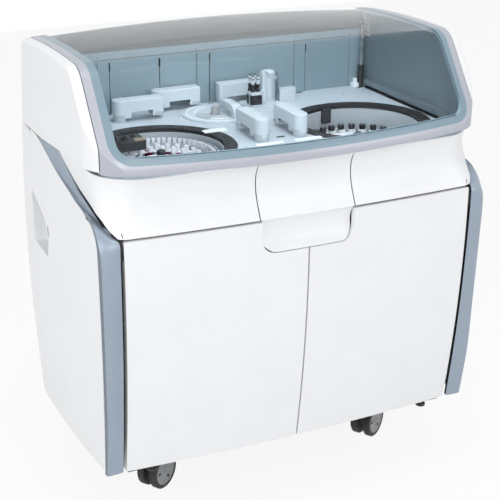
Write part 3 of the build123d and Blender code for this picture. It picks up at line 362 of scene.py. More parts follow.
def plate(bm, outline, z0, z1, turn=None):
    """Upright prism over a plan outline of (x, y) pairs in millimetres."""
    low = [bm.verts.new(Vector((x, y, z0)) * MM) for x, y in outline]
    high = [bm.verts.new(Vector((x, y, z1)) * MM) for x, y in outline]
    join_loops(bm, low, high)
    bm.faces.new(low[::-1])
    bm.faces.new(high)
    if turn is not None:
        bmesh.ops.transform(bm, matrix=turn, verts=low + high)


def rect(x0, x1, y0, y1):
    return [(x0, y0), (x1, y0), (x1, y1), (x0, y1)]


def round_rect(x0, x1, y0, y1, r, steps=4):
    """Plan outline of a rectangle with rounded corners."""
    points = []
    corners = ((x1 - r, y1 - r), (x0 + r, y1 - r), (x0 + r, y0 + r), (x1 - r, y0 + r))
    for quarter, (cx, cy) in enumerate(corners):
        for i in range(steps + 1):
            a = math.radians(90 * quarter + 90 * i / steps)
            points.append((cx + r * math.cos(a), cy + r * math.sin(a)))
    return points


def tube(bm, points, radius, sides):
    """Round bar along a polyline, in millimetres."""
    path = [Vector(p) for p in points]
    rings = []
    for i, p in enumerate(path):
        ahead = (path[min(i + 1, len(path) - 1)] - path[max(i - 1, 0)]).normalized()
        side = ahead.cross(OFF_AXIS).normalized()
        up = side.cross(ahead)
        ring = []
        for k in range(sides):
            a = math.tau * k / sides
            ring.append(bm.verts.new((p + (side * math.cos(a) + up * math.sin(a)) * radius) * MM))
        rings.append(ring)
    for low, high in zip(rings, rings[1:]):
        join_loops(bm, low, high)
    bm.faces.new(rings[0][::-1])
    bm.faces.new(rings[-1])


def screw_head(bm, x, y, z, r=2.6):
    """Button head with a six-sided socket, standing on a level face."""
    lathe(bm, (x, y), [(r, z), (r, z + 0.5), (r * 0.8, z + 1.1), (r * 0.45, z + 1.25), (r * 0.42, z + 0.6),
                       (TIP, z + 0.6)], 12)


# ---------------------------------------------------------------- places shared with the construction
LEFT_HUB = (-268.0, -79.0)
RIGHT_HUB = (268.0, -79.0)
DECK_TOP = 924.0
# post and direction of each arm that swings
ARMS = {"a": (-285.0, 169.0, 0.0), "b": (-160.0, 224.0, 0.0), "d": (-33.0, -135.0, 90.0),
        "e": (70.0, -135.0, 90.0)}


def around(centre, radius, count, start=0.0):
    for i in range(count):
        a = start + math.tau * i / count
        yield centre[0] + radius * math.cos(a), centre[1] + radius * math.sin(a), a


def turned(x, y, a):
    """Moves a shape drawn about the origin, in metres, to a place on a circle."""
    return Matrix.Translation((x * MM, y * MM, 0)) @ Matrix.Rotation(a, 4, "Z")


# ---------------------------------------------------------------- sample carousel
CUVETTE_RING = 127.0
CUVETTES = 60
CUVETTE_TOP = 907.0
TUBE_RINGS = ((96.0, 24), (74.0, 16))            # radius and number of tubes
VESSEL_Z = 855.3
TUBE_R = 6.4
TUBE_TOP = 902.5
FILLS = ("liquid_wine", "liquid_pink", "liquid_amber", "liquid_pink", "liquid_wine", "liquid_pink")
FILL_SKIN = 0.12             # how far a fill stands out of its tube's wall
FILL_FOOT = 9.0              # heights of the fills above the vessels' foot
FILL_TOP = 26.0
FILL_SPREAD = 9.0
STUD_RING = 137.0
STUDS = 30


def add_cuvettes():
    """Open square cups with a thin wall and a rim, one block of them all round."""
    bm = bmesh.new()
    for x, y, a in around(LEFT_HUB, CUVETTE_RING, CUVETTES):
        turn = turned(x, y, a)
        loops = []
        for hx, hy, z in ((3.3, 3.8, VESSEL_Z), (3.4, 3.9, CUVETTE_TOP - 3), (3.9, 4.3, CUVETTE_TOP - 3),
                          (3.9, 4.3, CUVETTE_TOP), (2.9, 3.3, CUVETTE_TOP), (2.7, 3.1, CUVETTE_TOP - 18)):
            corners = [Vector((px, py, z)) * MM for px, py in rect(-hx, hx, -hy, hy)]
            loops.append([bm.verts.new(turn @ corner) for corner in corners])
        for low, high in zip(loops, loops[1:]):
            join_loops(bm, low, high)
        bm.faces.new(loops[0][::-1])
        bm.faces.new(loops[-1])
    return finish_piece("cuvettes", bm, "vessel_clear", "sample_carousel", smooth=False)


def add_tubes():
    """Open tubes on two rings, filled to different heights with three liquids."""
    glass = bmesh.new()
    fills = {"liquid_pink": bmesh.new(), "liquid_wine": bmesh.new(), "liquid_amber": bmesh.new()}
    order = 0
    for radius, count in TUBE_RINGS:
        for x, y, _ in around(LEFT_HUB, radius, count):
            lathe(glass, (x, y), [(TUBE_R - 1.2, VESSEL_Z), (TUBE_R, VESSEL_Z + 2.5), (TUBE_R, TUBE_TOP),
                                  (TUBE_R - 1.0, TUBE_TOP), (TUBE_R - 1.1, TUBE_TOP - 6),
                                  (TIP, TUBE_TOP - 6.5)], 12)
            level = VESSEL_Z + FILL_TOP + FILL_SPREAD * math.sin(order * 2.3)
            lathe(fills[FILLS[order % len(FILLS)]], (x, y),
                  [(TUBE_R + FILL_SKIN, VESSEL_Z + FILL_FOOT), (TUBE_R + FILL_SKIN, level)], 12)
            order += 1
    pieces = [finish_piece("sample_tubes", glass, "vessel_clear", "sample_carousel")]
    for material, bm in fills.items():
        pieces.append(finish_piece("tube_fill_" + material.split("_")[1], bm, material, "sample_carousel"))
    return pieces


def add_sample_details():
    """Ring that holds the tubes, studs round the cuvettes, the centre knob and the hub's plate."""
    bm = bmesh.new()
    lathe(bm, LEFT_HUB, [(86.0, 884.0), (110.0, 884.0), (110.0, 886.0), (86.0, 886.0), (86.0, 884.0)], 72)
    finish_piece("tube_holder_ring", bm, "white_plastic", "sample_carousel")
    dots = bmesh.new()
    for x, y, _ in around(LEFT_HUB, STUD_RING, STUDS, 0.05):
        lathe(dots, (x, y), [(1.5, 906.0), (1.5, 906.6), (TIP, 906.7)], 8)
    finish_piece("guard_ring_studs", dots, "cap_black", "sample_carousel")
    knob = bmesh.new()
    lathe(knob, LEFT_HUB, [(24.0, 880.0), (24.0, 886.0), (12.0, 889.0), (11.0, 912.0), (8.0, 915.0),
                           (TIP, 915.5)], 32)
    finish_piece("sample_hub_knob", knob, "cap_black", "sample_carousel")
    cover = bmesh.new()
    lathe(cover, LEFT_HUB, [(58.5, 884.2), (56.0, 887.0), (22.0, 880.5), (22.0, 878.5), (57.0, 883.0)], 48)
    finish_piece("sample_hub_plate", cover, "white_plastic", "sample_carousel")


# ---------------------------------------------------------------- reagent carousel
BOTTLE_RING = 119.0
BOTTLES = 26
BOTTLE_Z = 845.3
BOTTLE_PLAN = ((-15.0, -8.0), (-13.0, -8.8), (13.5, -11.5), (15.0, -10.5), (15.0, 10.5), (13.5, 11.5),
               (-13.0, 8.8), (-15.0, 8.0))
SHOULDER = 0.86              # share of the plan at a bottle's shoulder
HUB_SLOT_RING = 52.0
HUB_SLOTS = 6


def add_bottles():
    """Wedge-shaped reagent bottles with a dark cap that has a pale middle."""
    body = bmesh.new()
    caps = bmesh.new()
    faces = bmesh.new()
    for x, y, a in around(RIGHT_HUB, BOTTLE_RING, BOTTLES):
        turn = turned(x, y, a)
        plate(body, BOTTLE_PLAN, BOTTLE_Z, BOTTLE_Z + 21, turn)
        shoulder = [(px * SHOULDER, py * SHOULDER) for px, py in BOTTLE_PLAN]
        plate(body, shoulder, BOTTLE_Z + 21, BOTTLE_Z + 24, turn)
        lathe(caps, (x, y), [(8.6, BOTTLE_Z + 24), (8.6, BOTTLE_Z + 35), (7.6, BOTTLE_Z + 37),
                             (4.8, BOTTLE_Z + 37.2), (4.6, BOTTLE_Z + 35), (TIP, BOTTLE_Z + 35)], 18)
        lathe(faces, (x, y), [(4.4, BOTTLE_Z + 35.1), (4.2, BOTTLE_Z + 36.6), (TIP, BOTTLE_Z + 36.9)], 12)
    return [finish_piece("reagent_bottle_bodies", body, "bottle", "reagent_carousel", smooth=False),
            finish_piece("reagent_bottle_caps", caps, "cap_black", "reagent_carousel"),
            finish_piece("reagent_cap_centres", faces, "disc_grey", "reagent_carousel")]


def add_reagent_details():
    knob = bmesh.new()
    lathe(knob, RIGHT_HUB, [(17.0, 875.5), (17.0, 884.0), (14.0, 890.0), (8.0, 893.0), (TIP, 893.6)], 32)
    finish_piece("reagent_hub_knob", knob, "cap_black", "reagent_carousel")
    hub = bmesh.new()
    lathe(hub, RIGHT_HUB, [(97.5, 864.2), (96.0, 867.0), (30.0, 870.0), (18.0, 870.2), (18.0, 866.0),
                           (97.0, 864.0)], 64)
    finish_piece("reagent_hub_plate", hub, "white_plastic", "reagent_carousel")
    # black plates in the hub's slots: painted shade
    hub_shade_plates = bmesh.new()
    for x, y, a in around(RIGHT_HUB, HUB_SLOT_RING, HUB_SLOTS, 0.4):
        plate(hub_shade_plates, round_rect(-9, 9, -4, 4, 3), 868.4, 869.8, turned(x, y, a))
    finish_piece("reagent_hub_slot_shade", hub_shade_plates, "cap_black", "reagent_carousel", smooth=False)


# ---------------------------------------------------------------- deck furniture
DECK_SCREWS = ((-440, 150), (-395, 200), (-220, 120), (-10, -210), (130, -60), (150, 60), (-130, 150),
               (20, -70), (290, 200), (360, 170), (420, 120), (-330, 218), (205, 230), (25, 160),
               (-90, -170), (110, -180))
# ranges in x and y of the deck's slots, painted as dark plates for the shade inside them
DECK_SLOTS = ((12, 34, -130, -121), (244, 270, 236, 243), (425, 436, 214, 220), (-305, -262, 236, 241),
              (-14, 4, 236, 240))
DECK_PADS = ((-132, -70, -26, 2), (100, 128, -20, 30), (-62, 10, -178, -160), (40, 112, -178, -160))
EDGE_SEAL_X = (452.0, 462.0)
EDGE_SEAL_Y = (-230, 214)
PLATFORM_HUB = (-32, 125)
SECTOR_HUB = (-46, 114)
PLATFORM_TOP = 929.0
ARM_HALF = 18.25
ARM_SKIRTS = ((-17.8, 25.8, 17), (84.2, 113.8, 6))       # reach from the post, and corner radius
ARM_SKIRT_Z = (934.2, 943.0)
ARM_SCREWS = ((20, -12), (20, 12), (104, -12), (104, 12))
ARM_TOP = 979.9
WASH_X, WASH_Y = 78.0, 142.0
WASH_FITTINGS = ((-8, -9), (-8, 9), (6, -9), (6, 9))
WASH_BLOCKS = ((125, 140), (144, 159))
WASH_HOSES = ((-9, 8.0), (9, -4.0), (0, 2.0))    # start across the head, and how far it drifts
HOSE_STEPS = 12
BARRELS = ((-372, -28, 12, 951), (-345, -42, 10, 947), (-318, -22, 8, 944), (-362, -58, 7, 943))
FIN_X, FIN_PITCH, FIN_T, FINS = -326, 5.0, 2.2, 5
FIN_Y = (-68, -52)


def add_deck_details():
    screws = bmesh.new()
    for x, y in DECK_SCREWS:
        screw_head(screws, x, y, DECK_TOP)
    finish_piece("deck_screws", screws, "steel", "cabinet")
    # flat dark plates on the deck: painted shade in its slots
    slots = bmesh.new()
    for sides in DECK_SLOTS:
        plate(slots, round_rect(*sides, 2.2, 2), DECK_TOP, DECK_TOP + 0.4)
    finish_piece("deck_slot_shade", slots, "seam_dark_and_slot_shade", "cabinet", smooth=False)
    pads = bmesh.new()
    for sides in DECK_PADS:
        plate(pads, round_rect(*sides, 6), DECK_TOP, DECK_TOP + 1.6)
    finish_piece("deck_pads", pads, "deck_white", "cabinet", bevel=0.0005)
    rails = bmesh.new()
    for side in (-1, 1):
        edges = sorted(side * x for x in EDGE_SEAL_X)
        plate(rails, round_rect(*edges, *EDGE_SEAL_Y, 2), DECK_TOP + 0.1, DECK_TOP + 3)
    finish_piece("deck_edge_seals", rails, "gasket", "cabinet", smooth=False)


def add_platform_details():
    """Stepped arcs on the half-round platform, its raised sector and the knob on that."""
    arcs = bmesh.new()
    top = PLATFORM_TOP + 0.9
    for r in (84.0, 62.0):
        lathe(arcs, PLATFORM_HUB, [(r, PLATFORM_TOP), (r, top), (r - 3, top), (r - 3, PLATFORM_TOP)], 40,
              math.radians(100), math.radians(195))
    finish_piece("platform_arcs", arcs, "white_plastic", "cabinet")
    sector = bmesh.new()
    top = PLATFORM_TOP + 1.6
    lathe(sector, SECTOR_HUB, [(14.0, PLATFORM_TOP), (50.0, PLATFORM_TOP), (50.0, top), (14.0, top)], 20,
          math.radians(150), math.radians(80))
    finish_piece("platform_sector", sector, "tub_grey", "cabinet")
    knob = bmesh.new()
    lathe(knob, SECTOR_HUB, [(10.4, 927.0), (10.8, 945.0), (9.0, 948.0), (TIP, 948.5)], 24)
    finish_piece("platform_knob", knob, "disc_grey", "cabinet")


def add_arm_details():
    """Grey skirts at the feet of each swinging cover and four screws in its top."""
    for key, (x, y, degrees) in ARMS.items():
        turn = turned(x, y, math.radians(degrees))
        body = "arm_" + key + "_swing"
        skirt = bmesh.new()
        for x0, x1, r in ARM_SKIRTS:
            plate(skirt, round_rect(x0, x1, -ARM_HALF, ARM_HALF, r), *ARM_SKIRT_Z, turn)
        finish_piece("arm_" + key + "_skirt", skirt, "tub_grey", body)
        screws = bmesh.new()
        for px, py in ARM_SCREWS:
            spot = turn @ (Vector((px, py, 0)) * MM)
            screw_head(screws, spot.x / MM, spot.y / MM, ARM_TOP, 1.6)
        finish_piece("arm_" + key + "_screws", screws, "steel", body)


def add_wash_details():
    """Fittings, blocks and hoses of the wash head, and the clear cover beside it."""
    caps = bmesh.new()
    for dx, dy in WASH_FITTINGS:
        centre = (WASH_X + dx, WASH_Y + dy)
        lathe(caps, centre, [(4.6, 968.0), (5.6, 970.0), (5.6, 976.0), (4.6, 978.0), (4.6, 984.0),
                             (5.4, 985.0), (5.4, 989.0), (4.4, 990.0)], 16)
        lathe(caps, centre, [(4.4, 1002.0), (3.4, 1008.0), (1.4, 1014.0), (TIP, 1014.5)], 16)
    finish_piece("wash_head_fittings", caps, "cap_black", "wash_lift")
    blocks = bmesh.new()
    for y0, y1 in WASH_BLOCKS:
        plate(blocks, round_rect(WASH_X - 15, WASH_X + 15, y0, y1, 3), 936.0, 962.0)
    finish_piece("wash_head_blocks", blocks, "cap_black", "wash_lift", bevel=0.001)
    hoses = bmesh.new()
    for dy, drift in WASH_HOSES:
        points = []
        for i in range(HOSE_STEPS + 1):
            t = i / HOSE_STEPS
            points.append((WASH_X + 8 + 44 * t, WASH_Y + dy + drift * t + 14 * t * t,
                           1000 + 22 * math.sin(math.pi * t) - 6 * t))
        tube(hoses, points, 1.6, 8)
    finish_piece("wash_hoses", hoses, "cover_clear", "cabinet")
    cover = bmesh.new()
    plate(cover, round_rect(140, 158, 160, 200, 8, 6), 931.0, 1006.0)
    finish_piece("wash_side_cover", cover, "cover_clear", "cabinet", bevel=0.004)


def add_optics_details():
    """Lens barrels and pale cooling fins of the lamp block over the sample ring."""
    barrels = bmesh.new()
    for x, y, r, top in BARRELS:
        lathe(barrels, (x, y), [(r, 938.0), (r, top - 5), (r - 1, top - 4), (r - 1, top - 1), (r - 2.5, top),
                                (r - 4, top), (r - 4.5, top - 4), (TIP, top - 4)], 20)
    finish_piece("optics_barrels", barrels, "cap_black", "cabinet")
    fins = bmesh.new()
    for i in range(FINS):
        x = FIN_X + FIN_PITCH * i
        plate(fins, rect(x, x + FIN_T, *FIN_Y), DECK_TOP, DECK_TOP + 20)
    finish_piece("optics_fins", fins, "beige_fin", "cabinet", smooth=False)


# ---------------------------------------------------------------- hood interior
BACK_SEAMS = (-281, -144, -3, 281)
BACK_SEAM_Z = (925.0, 1036.0, 1066.0)            # foot, where the seam widens into a slot whose shade is painted, and top
STRUT_X = 449.0


def add_hood_details():
    """Dark seams of the back wall, wider at their tops where they paint the shade in its slots, and the
    blocks beside the struts' feet.
    """
    seams = bmesh.new()
    foot, widens, top = BACK_SEAM_Z
    for x in BACK_SEAMS:
        plate(seams, rect(x - 0.8, x + 0.8, 248.2, 249.0), foot, widens)
        # wider top: painted shade in the wall's slot
        plate(seams, rect(x - 2.4, x + 2.4, 248.4, 251.5), widens, top)
    finish_piece("back_wall_seams_and_slot_shade", seams, "seam_dark_and_slot_shade", "cabinet", smooth=False)
    fittings = bmesh.new()
    for side in (-1, 1):
        low, high = sorted((side * (STRUT_X - 24), side * (STRUT_X - 9)))
        plate(fittings, round_rect(low, high, 222, 246, 3), DECK_TOP, DECK_TOP + 12)
        plate(fittings, round_rect(low + 3, high - 3, 228, 240, 2), DECK_TOP + 12, DECK_TOP + 24)
    finish_piece("strut_guides", fittings, "white_plastic", "cabinet", bevel=0.0008)


# ---------------------------------------------------------------- front corners: trim bands and upper panels
# The edges and stations are read off the photograph, and given in millimetres on the right half.
SIDES = (("left", -1), ("right", 1))
UPPER_HALF = 484.0
# depth and height of the grip floor's corners, where a grey sheet paints the recess's shade
GRIP_FLOOR = ((248.0, 737.0), (126.0, 681.0), (148.0, 609.0), (248.0, 614.0))
GRIP_FLOOR_X = 469.6
GRIP_STEPS = 8
BOW_R = 6336.0               # plan radius of the front
# height and depth of the upper panels' front on the middle plane
WAIST = ((797.0, -324.0), (845.0, -301.0), (875.0, -295.0), (925.0, -312.0))
CORNER_LOW = (797.0, 45.0)           # height and plan radius of the panel corner at its foot
CORNER_HIGH = (925.0, 110.0)
PANEL_X0 = 124.5
PANEL_END_Y = 30.0
PANEL_STEPS = 14             # in height, and along each of the front, the corner and the side
# lower edge: height against the corner's angle, and against depth on the side
WRAP_CORNER = ((0, 797), (25, 799), (49.6, 814), (67, 832), (90, 845))
WRAP_SIDE = ((-213, 845), (-175, 853), (-117, 863.4), (-73, 876.5), (-36, 887.3), (3, 898.3), (33, 911.9))
CHEEK_FOOT = ((-430, 942), (-250, 941), (-145, 937), (-8, 927.5), (150, 916))
# right trim band from the floor end up: inner edge, middle pull, outer ridge and rear return
TRIM_STATIONS = (
    ((457, -268, 188), (482, -273, 188), (498, -270, 188), (499.5, -258, 188)),
    ((457, -287, 330), (482, -294, 330), (498, -291, 330), (499.5, -275, 330)),
    ((457, -302, 480), (482, -307, 480), (498, -298, 480), (499.5, -283, 480)),
    ((457, -311, 640), (482, -315, 640), (498.5, -304, 640), (499.5, -285, 640)),
    ((457, -314, 750), (482, -318, 750), (499, -306, 750), (499.5, -285, 750)),
    ((457, -312, 789), (480, -312, 792), (499, -292, 786), (499.5, -281, 779)),
    ((463, -288, 799), (480, -284, 808), (499, -268, 813), (499.5, -263, 807)),
    ((475, -256, 813), (481, -250, 818), (499, -238, 829), (499.5, -236, 824)),
    ((482, -212, 832), (485, -208, 827), (499, -195, 834), (499.5, -194, 831)),
    ((484, -159, 845.5), (486, -155, 836), (499, -130, 842), (499.5, -129, 840)),
    ((484, -108, 855.8), (486, -104, 842), (499, -82, 851), (499.5, -81, 849.5)),
    ((484, -50, 876.8), (486, -40, 856), (499, -19, 862), (499.5, -18, 860)),
    ((484, -4, 893), (486, 10, 872), (499, 40, 876.5), (499.5, 41, 875)),
    ((484, 27, 909), (487, 50, 892), (499, 93, 891.5), (499.5, 94, 890)),
    ((487, 78, 915), (492, 90, 903), (499, 126, 902.5), (499.5, 127, 901)),
    ((493, 140, 918), (495, 145, 912), (499, 165, 911), (499.5, 166, 910)),
)
# depth and height of the side panel's upper edge, and of the crest that closes it to the trim band
SIDE_TOP = ((234, 904), (180, 894), (120, 880), (60, 866), (0, 853), (-55, 842), (-110, 832.5), (-160, 826),
            (-210, 820))
CREST_TOP = ((234, 914.5), (180, 913), (126, 901), (93, 890), (40, 874.8), (-19, 860.2), (-82, 849.8),
             (-129, 840), (-194, 831), (-212, 827))
SPAN_STEPS = 6               # between two stations
BAND_STEPS = 8               # across the band
CREST_X = (499.8, 499.6)     # at the foot and at the top
CREST_Y = (232.0, -208.0)
CREST_STEPS = 30
WAIST_STATIONS = slice(4, 15)
WRAP_SEAL = ((-1.0, 3.0, -6.0), (-9.0, 5.0, 2.0), (-9.0, 7.0, 16.0))             # from the band's inner edge
COLUMN_SEAL_X = 457.2
COLUMN_SEAL_Y = (0.6, 8.0)                       # behind the band's inner edge
COLUMN_SEAL_Z = (190.0, 786.0)
COLUMN_SEAL_STEPS = 40
CUTTER_COLUMNS = slice(12, 36)                   # columns of the panel's points round the corner
CUTTER_GAP = 3.6             # how far behind the skin's face the cutter starts
CUTTER_SIDE_FROM = 440.0     # x beyond which it moves in from the side
CUTTER_FRONT_TO = 480.0      # x up to which it moves in from the front
CUTTER_OVER = 6.0            # how far it passes the skin's lower and upper edges
CUTTER_DEPTH = 45.0


def along(table, x):
    """Straight-line reading of a table of pairs, in either order."""
    rows = sorted(table)
    if x <= rows[0][0]:
        return rows[0][1]
    for (x0, y0), (x1, y1) in zip(rows, rows[1:]):
        if x <= x1:
            return y0 + (y1 - y0) * (x - x0) / (x1 - x0)
    return rows[-1][1]


def smooth_path(points, steps):
    """Curve through the points, with the given number of steps in each span."""
    path = [Vector(p) for p in points]
    result = []
    for i in range(len(path) - 1):
        a, b, c, d = path[max(i - 1, 0)], path[i], path[i + 1], path[min(i + 2, len(path) - 1)]
        for k in range(steps):
            t = k / steps
            result.append(b + 0.5 * t * (c - a + t * (2 * a - 5 * b + 4 * c - d + t * (3 * (b - c) + d - a))))
    return result + [path[-1]]


def shell(bm, rows, thickness, outward):
    """Closed sheet over a grid of points in millimetres, its thickness laid on the far side from outward."""
    tall, wide = len(rows), len(rows[0])
    front, back = [], []
    for i in range(tall):
        front_row, back_row = [], []
        for j in range(wide):
            du = rows[i][min(j + 1, wide - 1)] - rows[i][max(j - 1, 0)]
            dv = rows[min(i + 1, tall - 1)][j] - rows[max(i - 1, 0)][j]
            normal = du.cross(dv).normalized()
            if normal.dot(outward) < 0:
                normal.negate()
            front_row.append(bm.verts.new(rows[i][j] * MM))
            back_row.append(bm.verts.new((rows[i][j] - normal * thickness) * MM))
        front.append(front_row)
        back.append(back_row)
    for i in range(tall - 1):
        for j in range(wide - 1):
            bm.faces.new((front[i][j], front[i][j + 1], front[i + 1][j + 1], front[i + 1][j]))
            bm.faces.new((back[i][j], back[i + 1][j], back[i + 1][j + 1], back[i][j + 1]))
    for i in range(tall - 1):
        bm.faces.new((front[i][0], front[i + 1][0], back[i + 1][0], back[i][0]))
        bm.faces.new((front[i][-1], back[i][-1], back[i + 1][-1], front[i + 1][-1]))
    for j in range(wide - 1):
        bm.faces.new((front[0][j], back[0][j], back[0][j + 1], front[0][j + 1]))
        bm.faces.new((front[-1][j], front[-1][j + 1], back[-1][j + 1], back[-1][j]))


def mirrored(point, side):
    return Vector((point[0] * side, point[1], point[2]))


def sided(rows, side):
    return [[mirrored(p, side) for p in row] for row in rows]


def waist_y(z):
    """Depth of the upper panels on the middle plane, a cubic through the four waist points."""
    total = 0.0
    for i, (zi, yi) in enumerate(WAIST):
        term = yi
        for j, (zj, _) in enumerate(WAIST):
            if j != i:
                term *= (z - zj) / (zi - zj)
        total += term
    return total


def corner_r(z):
    share = (z - CORNER_LOW[0]) / (CORNER_HIGH[0] - CORNER_LOW[0])
    return CORNER_LOW[1] + (CORNER_HIGH[1] - CORNER_LOW[1]) * share


def panel_point(zone, s, z):
    """Point of the upper panel's skin: zone 0 front, 1 corner, 2 side, s from 0 to 1 along it."""
    r = corner_r(z)
    cx = UPPER_HALF - r
    cy = waist_y(z) + cx * cx / (2 * BOW_R) + r
    if zone == 0:
        x = PANEL_X0 + s * (cx - PANEL_X0)
        return Vector((x, waist_y(z) + x * x / (2 * BOW_R), z))
    if zone == 1:
        a = s * math.pi / 2
        return Vector((cx + r * math.sin(a), cy - r * math.cos(a), z))
    return Vector((UPPER_HALF, cy + s * (PANEL_END_Y - cy), z))


def panel_rows():
    """Points of the upper panel's skin, row by row from its lower edge."""
    columns = [(zone, k / PANEL_STEPS) for zone in (0, 1, 2) for k in range(PANEL_STEPS)] + [(2, 1.0)]
    rows = []
    for k in range(PANEL_STEPS + 1):
        row = []
        for zone, s in columns:
            low = WAIST[0][0]
            high = WAIST[-1][0]
            if zone == 1:
                low = along(WRAP_CORNER, s * 90)
            if zone == 2:
                y = WRAP_SIDE[0][0] + s * (PANEL_END_Y - WRAP_SIDE[0][0])
                low = along(WRAP_SIDE, y)
                high = min(high, along(CHEEK_FOOT, y) - 4)
            row.append(panel_point(zone, s, low + (high - low) * k / PANEL_STEPS))
        rows.append(row)
    return rows


def trim_rows():
    """Points of the trim band, from its inner edge to its ridge, and of the return behind the ridge."""
    rails = [smooth_path([station[k] for station in TRIM_STATIONS], SPAN_STEPS) for k in range(4)]
    rows = []
    for inner, pull, ridge, _ in zip(*rails):
        row = [inner]
        for k in range(1, BAND_STEPS + 1):
            t = k / BAND_STEPS
            row.append((1 - t) ** 2 * inner + 2 * t * (1 - t) * pull + t * t * ridge)
        rows.append(row)
    returns = [[ridge, (ridge + rear) / 2, rear] for ridge, rear in zip(rails[2], rails[3])]
    return rows, returns


def grip_shade_rows():
    """Grey sheet of painted shade on the floor of the side grip, four-cornered and just clear of the
    moulding.
    """
    rear_top, front_top, front_foot, rear_foot = (Vector((GRIP_FLOOR_X, y, z)) for y, z in GRIP_FLOOR)
    rows = []
    for i in range(GRIP_STEPS + 1):
        top = rear_top.lerp(front_top, i / GRIP_STEPS)
        foot = rear_foot.lerp(front_foot, i / GRIP_STEPS)
        rows.append([top.lerp(foot, k / GRIP_STEPS) for k in range(GRIP_STEPS + 1)])
    return rows


def crest_rows():
    """Strip along the top of the side panel, up to the trim band."""
    rows = []
    for k in range(CREST_STEPS + 1):
        y = CREST_Y[0] - (CREST_Y[0] - CREST_Y[1]) * k / CREST_STEPS
        low = along(SIDE_TOP, y) + 0.3
        high = max(low + 0.4, along(CREST_TOP, y) - 0.6)
        rows.append([Vector((CREST_X[0], y, low)), Vector((CREST_X[0], y, (low + high) / 2)),
                     Vector((CREST_X[1], y, high))])
    return rows


def wrap_seal_rows():
    """Dark joint between the trim band and the upper panel, from the waist back."""
    rail = smooth_path([station[0] for station in TRIM_STATIONS[WAIST_STATIONS]], SPAN_STEPS)
    return [[p + Vector(step) for step in WRAP_SEAL] for p in rail]


def column_seal_rows():
    """Dark joint along the trim band's inner edge, beside the door."""
    inner_edge = [(station[0][2], station[0][1]) for station in TRIM_STATIONS[:6]]
    rows = []
    for k in range(COLUMN_SEAL_STEPS + 1):
        z = COLUMN_SEAL_Z[0] + (COLUMN_SEAL_Z[1] - COLUMN_SEAL_Z[0]) * k / COLUMN_SEAL_STEPS
        y = along(inner_edge, z)
        rows.append([Vector((COLUMN_SEAL_X, y + step, z)) for step in COLUMN_SEAL_Y])
    return rows


def add_front_corners():
    """Upper panels with coned corners, trim bands, side crests, grey sheets of painted shade on the grip
    floors, and dark seals.
    """
    trims, returns = trim_rows()
    # end of the name, points, thickness, direction that the points face, material, node that it replaces
    sheets = (
        ("_upper_skin", panel_rows(), 3.0, (1, -1.0, 0.3), "moulded_white", "_upper_panel"),
        ("_trim_band", trims, 2.5, (1, -1.0, 0.3), "trim_blue_grey", "_trim"),
        ("_trim_return", returns, 2.5, (1, -1.0, 0.3), "trim_shadow", None),
        # grey sheet of painted shade on the grip's floor
        ("_grip_shade_sheet", grip_shade_rows(), 0.8, (1, 0, 0), "grip_painted_shade", None),
        ("_side_crest", crest_rows(), 2.0, (1, 0, 0), "moulded_white", None),
        ("_wrap_seal", wrap_seal_rows(), 1.0, (1, -1.0, 0.3), "gasket", None),
        ("_column_seal", column_seal_rows(), 0.8, (-1, 0, 0), "gasket", None))
    for name, side in SIDES:
        for ending, rows, thickness, outward, material, node in sheets:
            bm = bmesh.new()
            shell(bm, sided(rows, side), thickness, mirrored(outward, side))
            piece = finish_piece(name + ending, bm, material, "cabinet")
            if node:
                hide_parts(name + node)


def skin_cutter(name, side):
    """Solid outside the upper panel's skin, for cutting back what would stand out through its corner."""
    rows = panel_rows()
    inner = []
    for i, row in enumerate(rows):
        over = CUTTER_OVER * ((i == len(rows) - 1) - (i == 0))
        line = []
        for p in row[CUTTER_COLUMNS]:
            x = p.x - CUTTER_GAP * (p.x > CUTTER_SIDE_FROM)
            y = p.y + CUTTER_GAP * (p.x < CUTTER_FRONT_TO)
            line.append(Vector((x, y, p.z + over)))
        inner.append(line)
    bm = bmesh.new()
    shell(bm, sided(inner, side), -CUTTER_DEPTH, Vector((side, -1.0, 0.0)))
    bmesh.ops.recalc_face_normals(bm, faces=bm.faces)
    mesh = bpy.data.meshes.new(name)
    bm.to_mesh(mesh)
    bm.free()
    return bpy.data.objects.new(name, mesh)


def add_cut_back_nodes():
    """Deck plate and base frame with their front corners cut back to the upper panels' skin."""
    cutters = [skin_cutter(name + "_corner_cutter", side) for name, side in SIDES]
    for node in ("deck_plate", "base_frame"):
        piece = bpy.data.objects.new(node + "_cut_back", NODES[node].data.copy())
        bpy.context.collection.objects.link(piece)
        for cutter in cutters:
            cut = piece.modifiers.new(cutter.name, "BOOLEAN")
            cut.operation = "DIFFERENCE"
            cut.solver = "EXACT"
            cut.object = cutter
        evaluated = piece.evaluated_get(bpy.context.evaluated_depsgraph_get())
        cut_mesh = bpy.data.meshes.new_from_object(evaluated)
        piece.modifiers.clear()
        piece.data = cut_mesh
        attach(piece, "cabinet")
        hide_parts(node)


# ---------------------------------------------------------------- casters
CASTER_X = 318.0
CASTER_Y = (("front", -85.0), ("rear", 235.0))
CASTER_TRAIL = 18.0
CASTER_TURN = math.radians(-146.0)
AXLE_Z = 50.0
WHEEL_FACE = 29.0            # outer face of a wheel, from the middle of its caster
SLOT_FLOOR = 1.4             # how far inside that face a wheel's slots start
SLOT_DEPTH = 1.2
WHEEL_SLOTS = 3


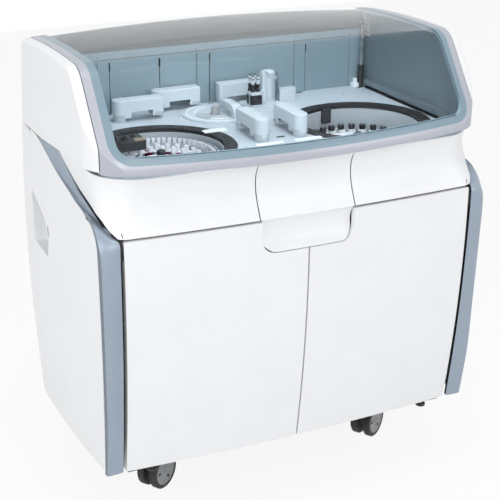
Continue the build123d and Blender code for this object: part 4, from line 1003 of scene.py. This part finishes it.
def add_caster_details():
    """Grey discs on the outer faces of the twin wheels, with dark plates that paint the shade in their slots.
    """
    disc = [(39.2, WHEEL_FACE - 3.5), (39.2, WHEEL_FACE - 0.6), (37.0, WHEEL_FACE + 0.2),
            (33.5, WHEEL_FACE - 1.6), (14.0, WHEEL_FACE - 2.2), (12.0, WHEEL_FACE - 0.6),
            (7.0, WHEEL_FACE - 0.4), (6.0, WHEEL_FACE - 2.0), (TIP, WHEEL_FACE - 2.0)]
    turn = Matrix.Rotation(CASTER_TURN, 4, "Z")
    lie_down = Matrix.Rotation(math.radians(90), 4, "X")
    for end, y in CASTER_Y:
        for side, sign in SIDES:
            key = end + "_" + side
            centre = Vector((sign * CASTER_X - CASTER_TRAIL * math.cos(CASTER_TURN),
                             y - CASTER_TRAIL * math.sin(CASTER_TURN), AXLE_Z)) * MM
            axle = Matrix.Translation(centre) @ turn @ lie_down
            discs = bmesh.new()
            for flip in (Matrix.Rotation(math.pi, 4, "X"), Matrix.Identity(4)):
                before = set(discs.verts)
                lathe(discs, (0, 0), disc, 40)
                new = [v for v in discs.verts if v not in before]
                bmesh.ops.transform(discs, matrix=axle @ flip, verts=new)
            finish_piece(key + "_wheel_discs", discs, "disc_grey", key + "_wheels")
            # dark plates in each wheel's slots: painted shade
            slots = bmesh.new()
            for face in (-1, 1):
                z = face * (WHEEL_FACE - SLOT_FLOOR)
                floor = z - face * SLOT_DEPTH
                for k in range(WHEEL_SLOTS):
                    spin = Matrix.Rotation(math.tau * k / WHEEL_SLOTS, 4, "Z")
                    plate(slots, round_rect(19, 31, -3, 3, 2.8), min(z, floor), max(z, floor), spin)
            bmesh.ops.transform(slots, matrix=axle, verts=slots.verts)
            finish_piece(key + "_wheel_slot_shade", slots, "seam_dark_and_slot_shade", key + "_wheels", smooth=False)


def add_all_details():
    for piece in [add_cuvettes()] + add_tubes():
        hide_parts("sample_vessels")
    for piece in add_bottles():
        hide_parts("reagent_bottles")
    add_sample_details()
    add_reagent_details()
    add_deck_details()
    add_platform_details()
    add_arm_details()
    add_wash_details()
    add_optics_details()
    add_hood_details()
    add_caster_details()
    add_front_corners()
    add_cut_back_nodes()


add_camera()
set_world()
add_floor()
add_lamps()
dress_cad_nodes()
add_all_details()
bpy.context.scene.view_settings.view_transform = "Standard"
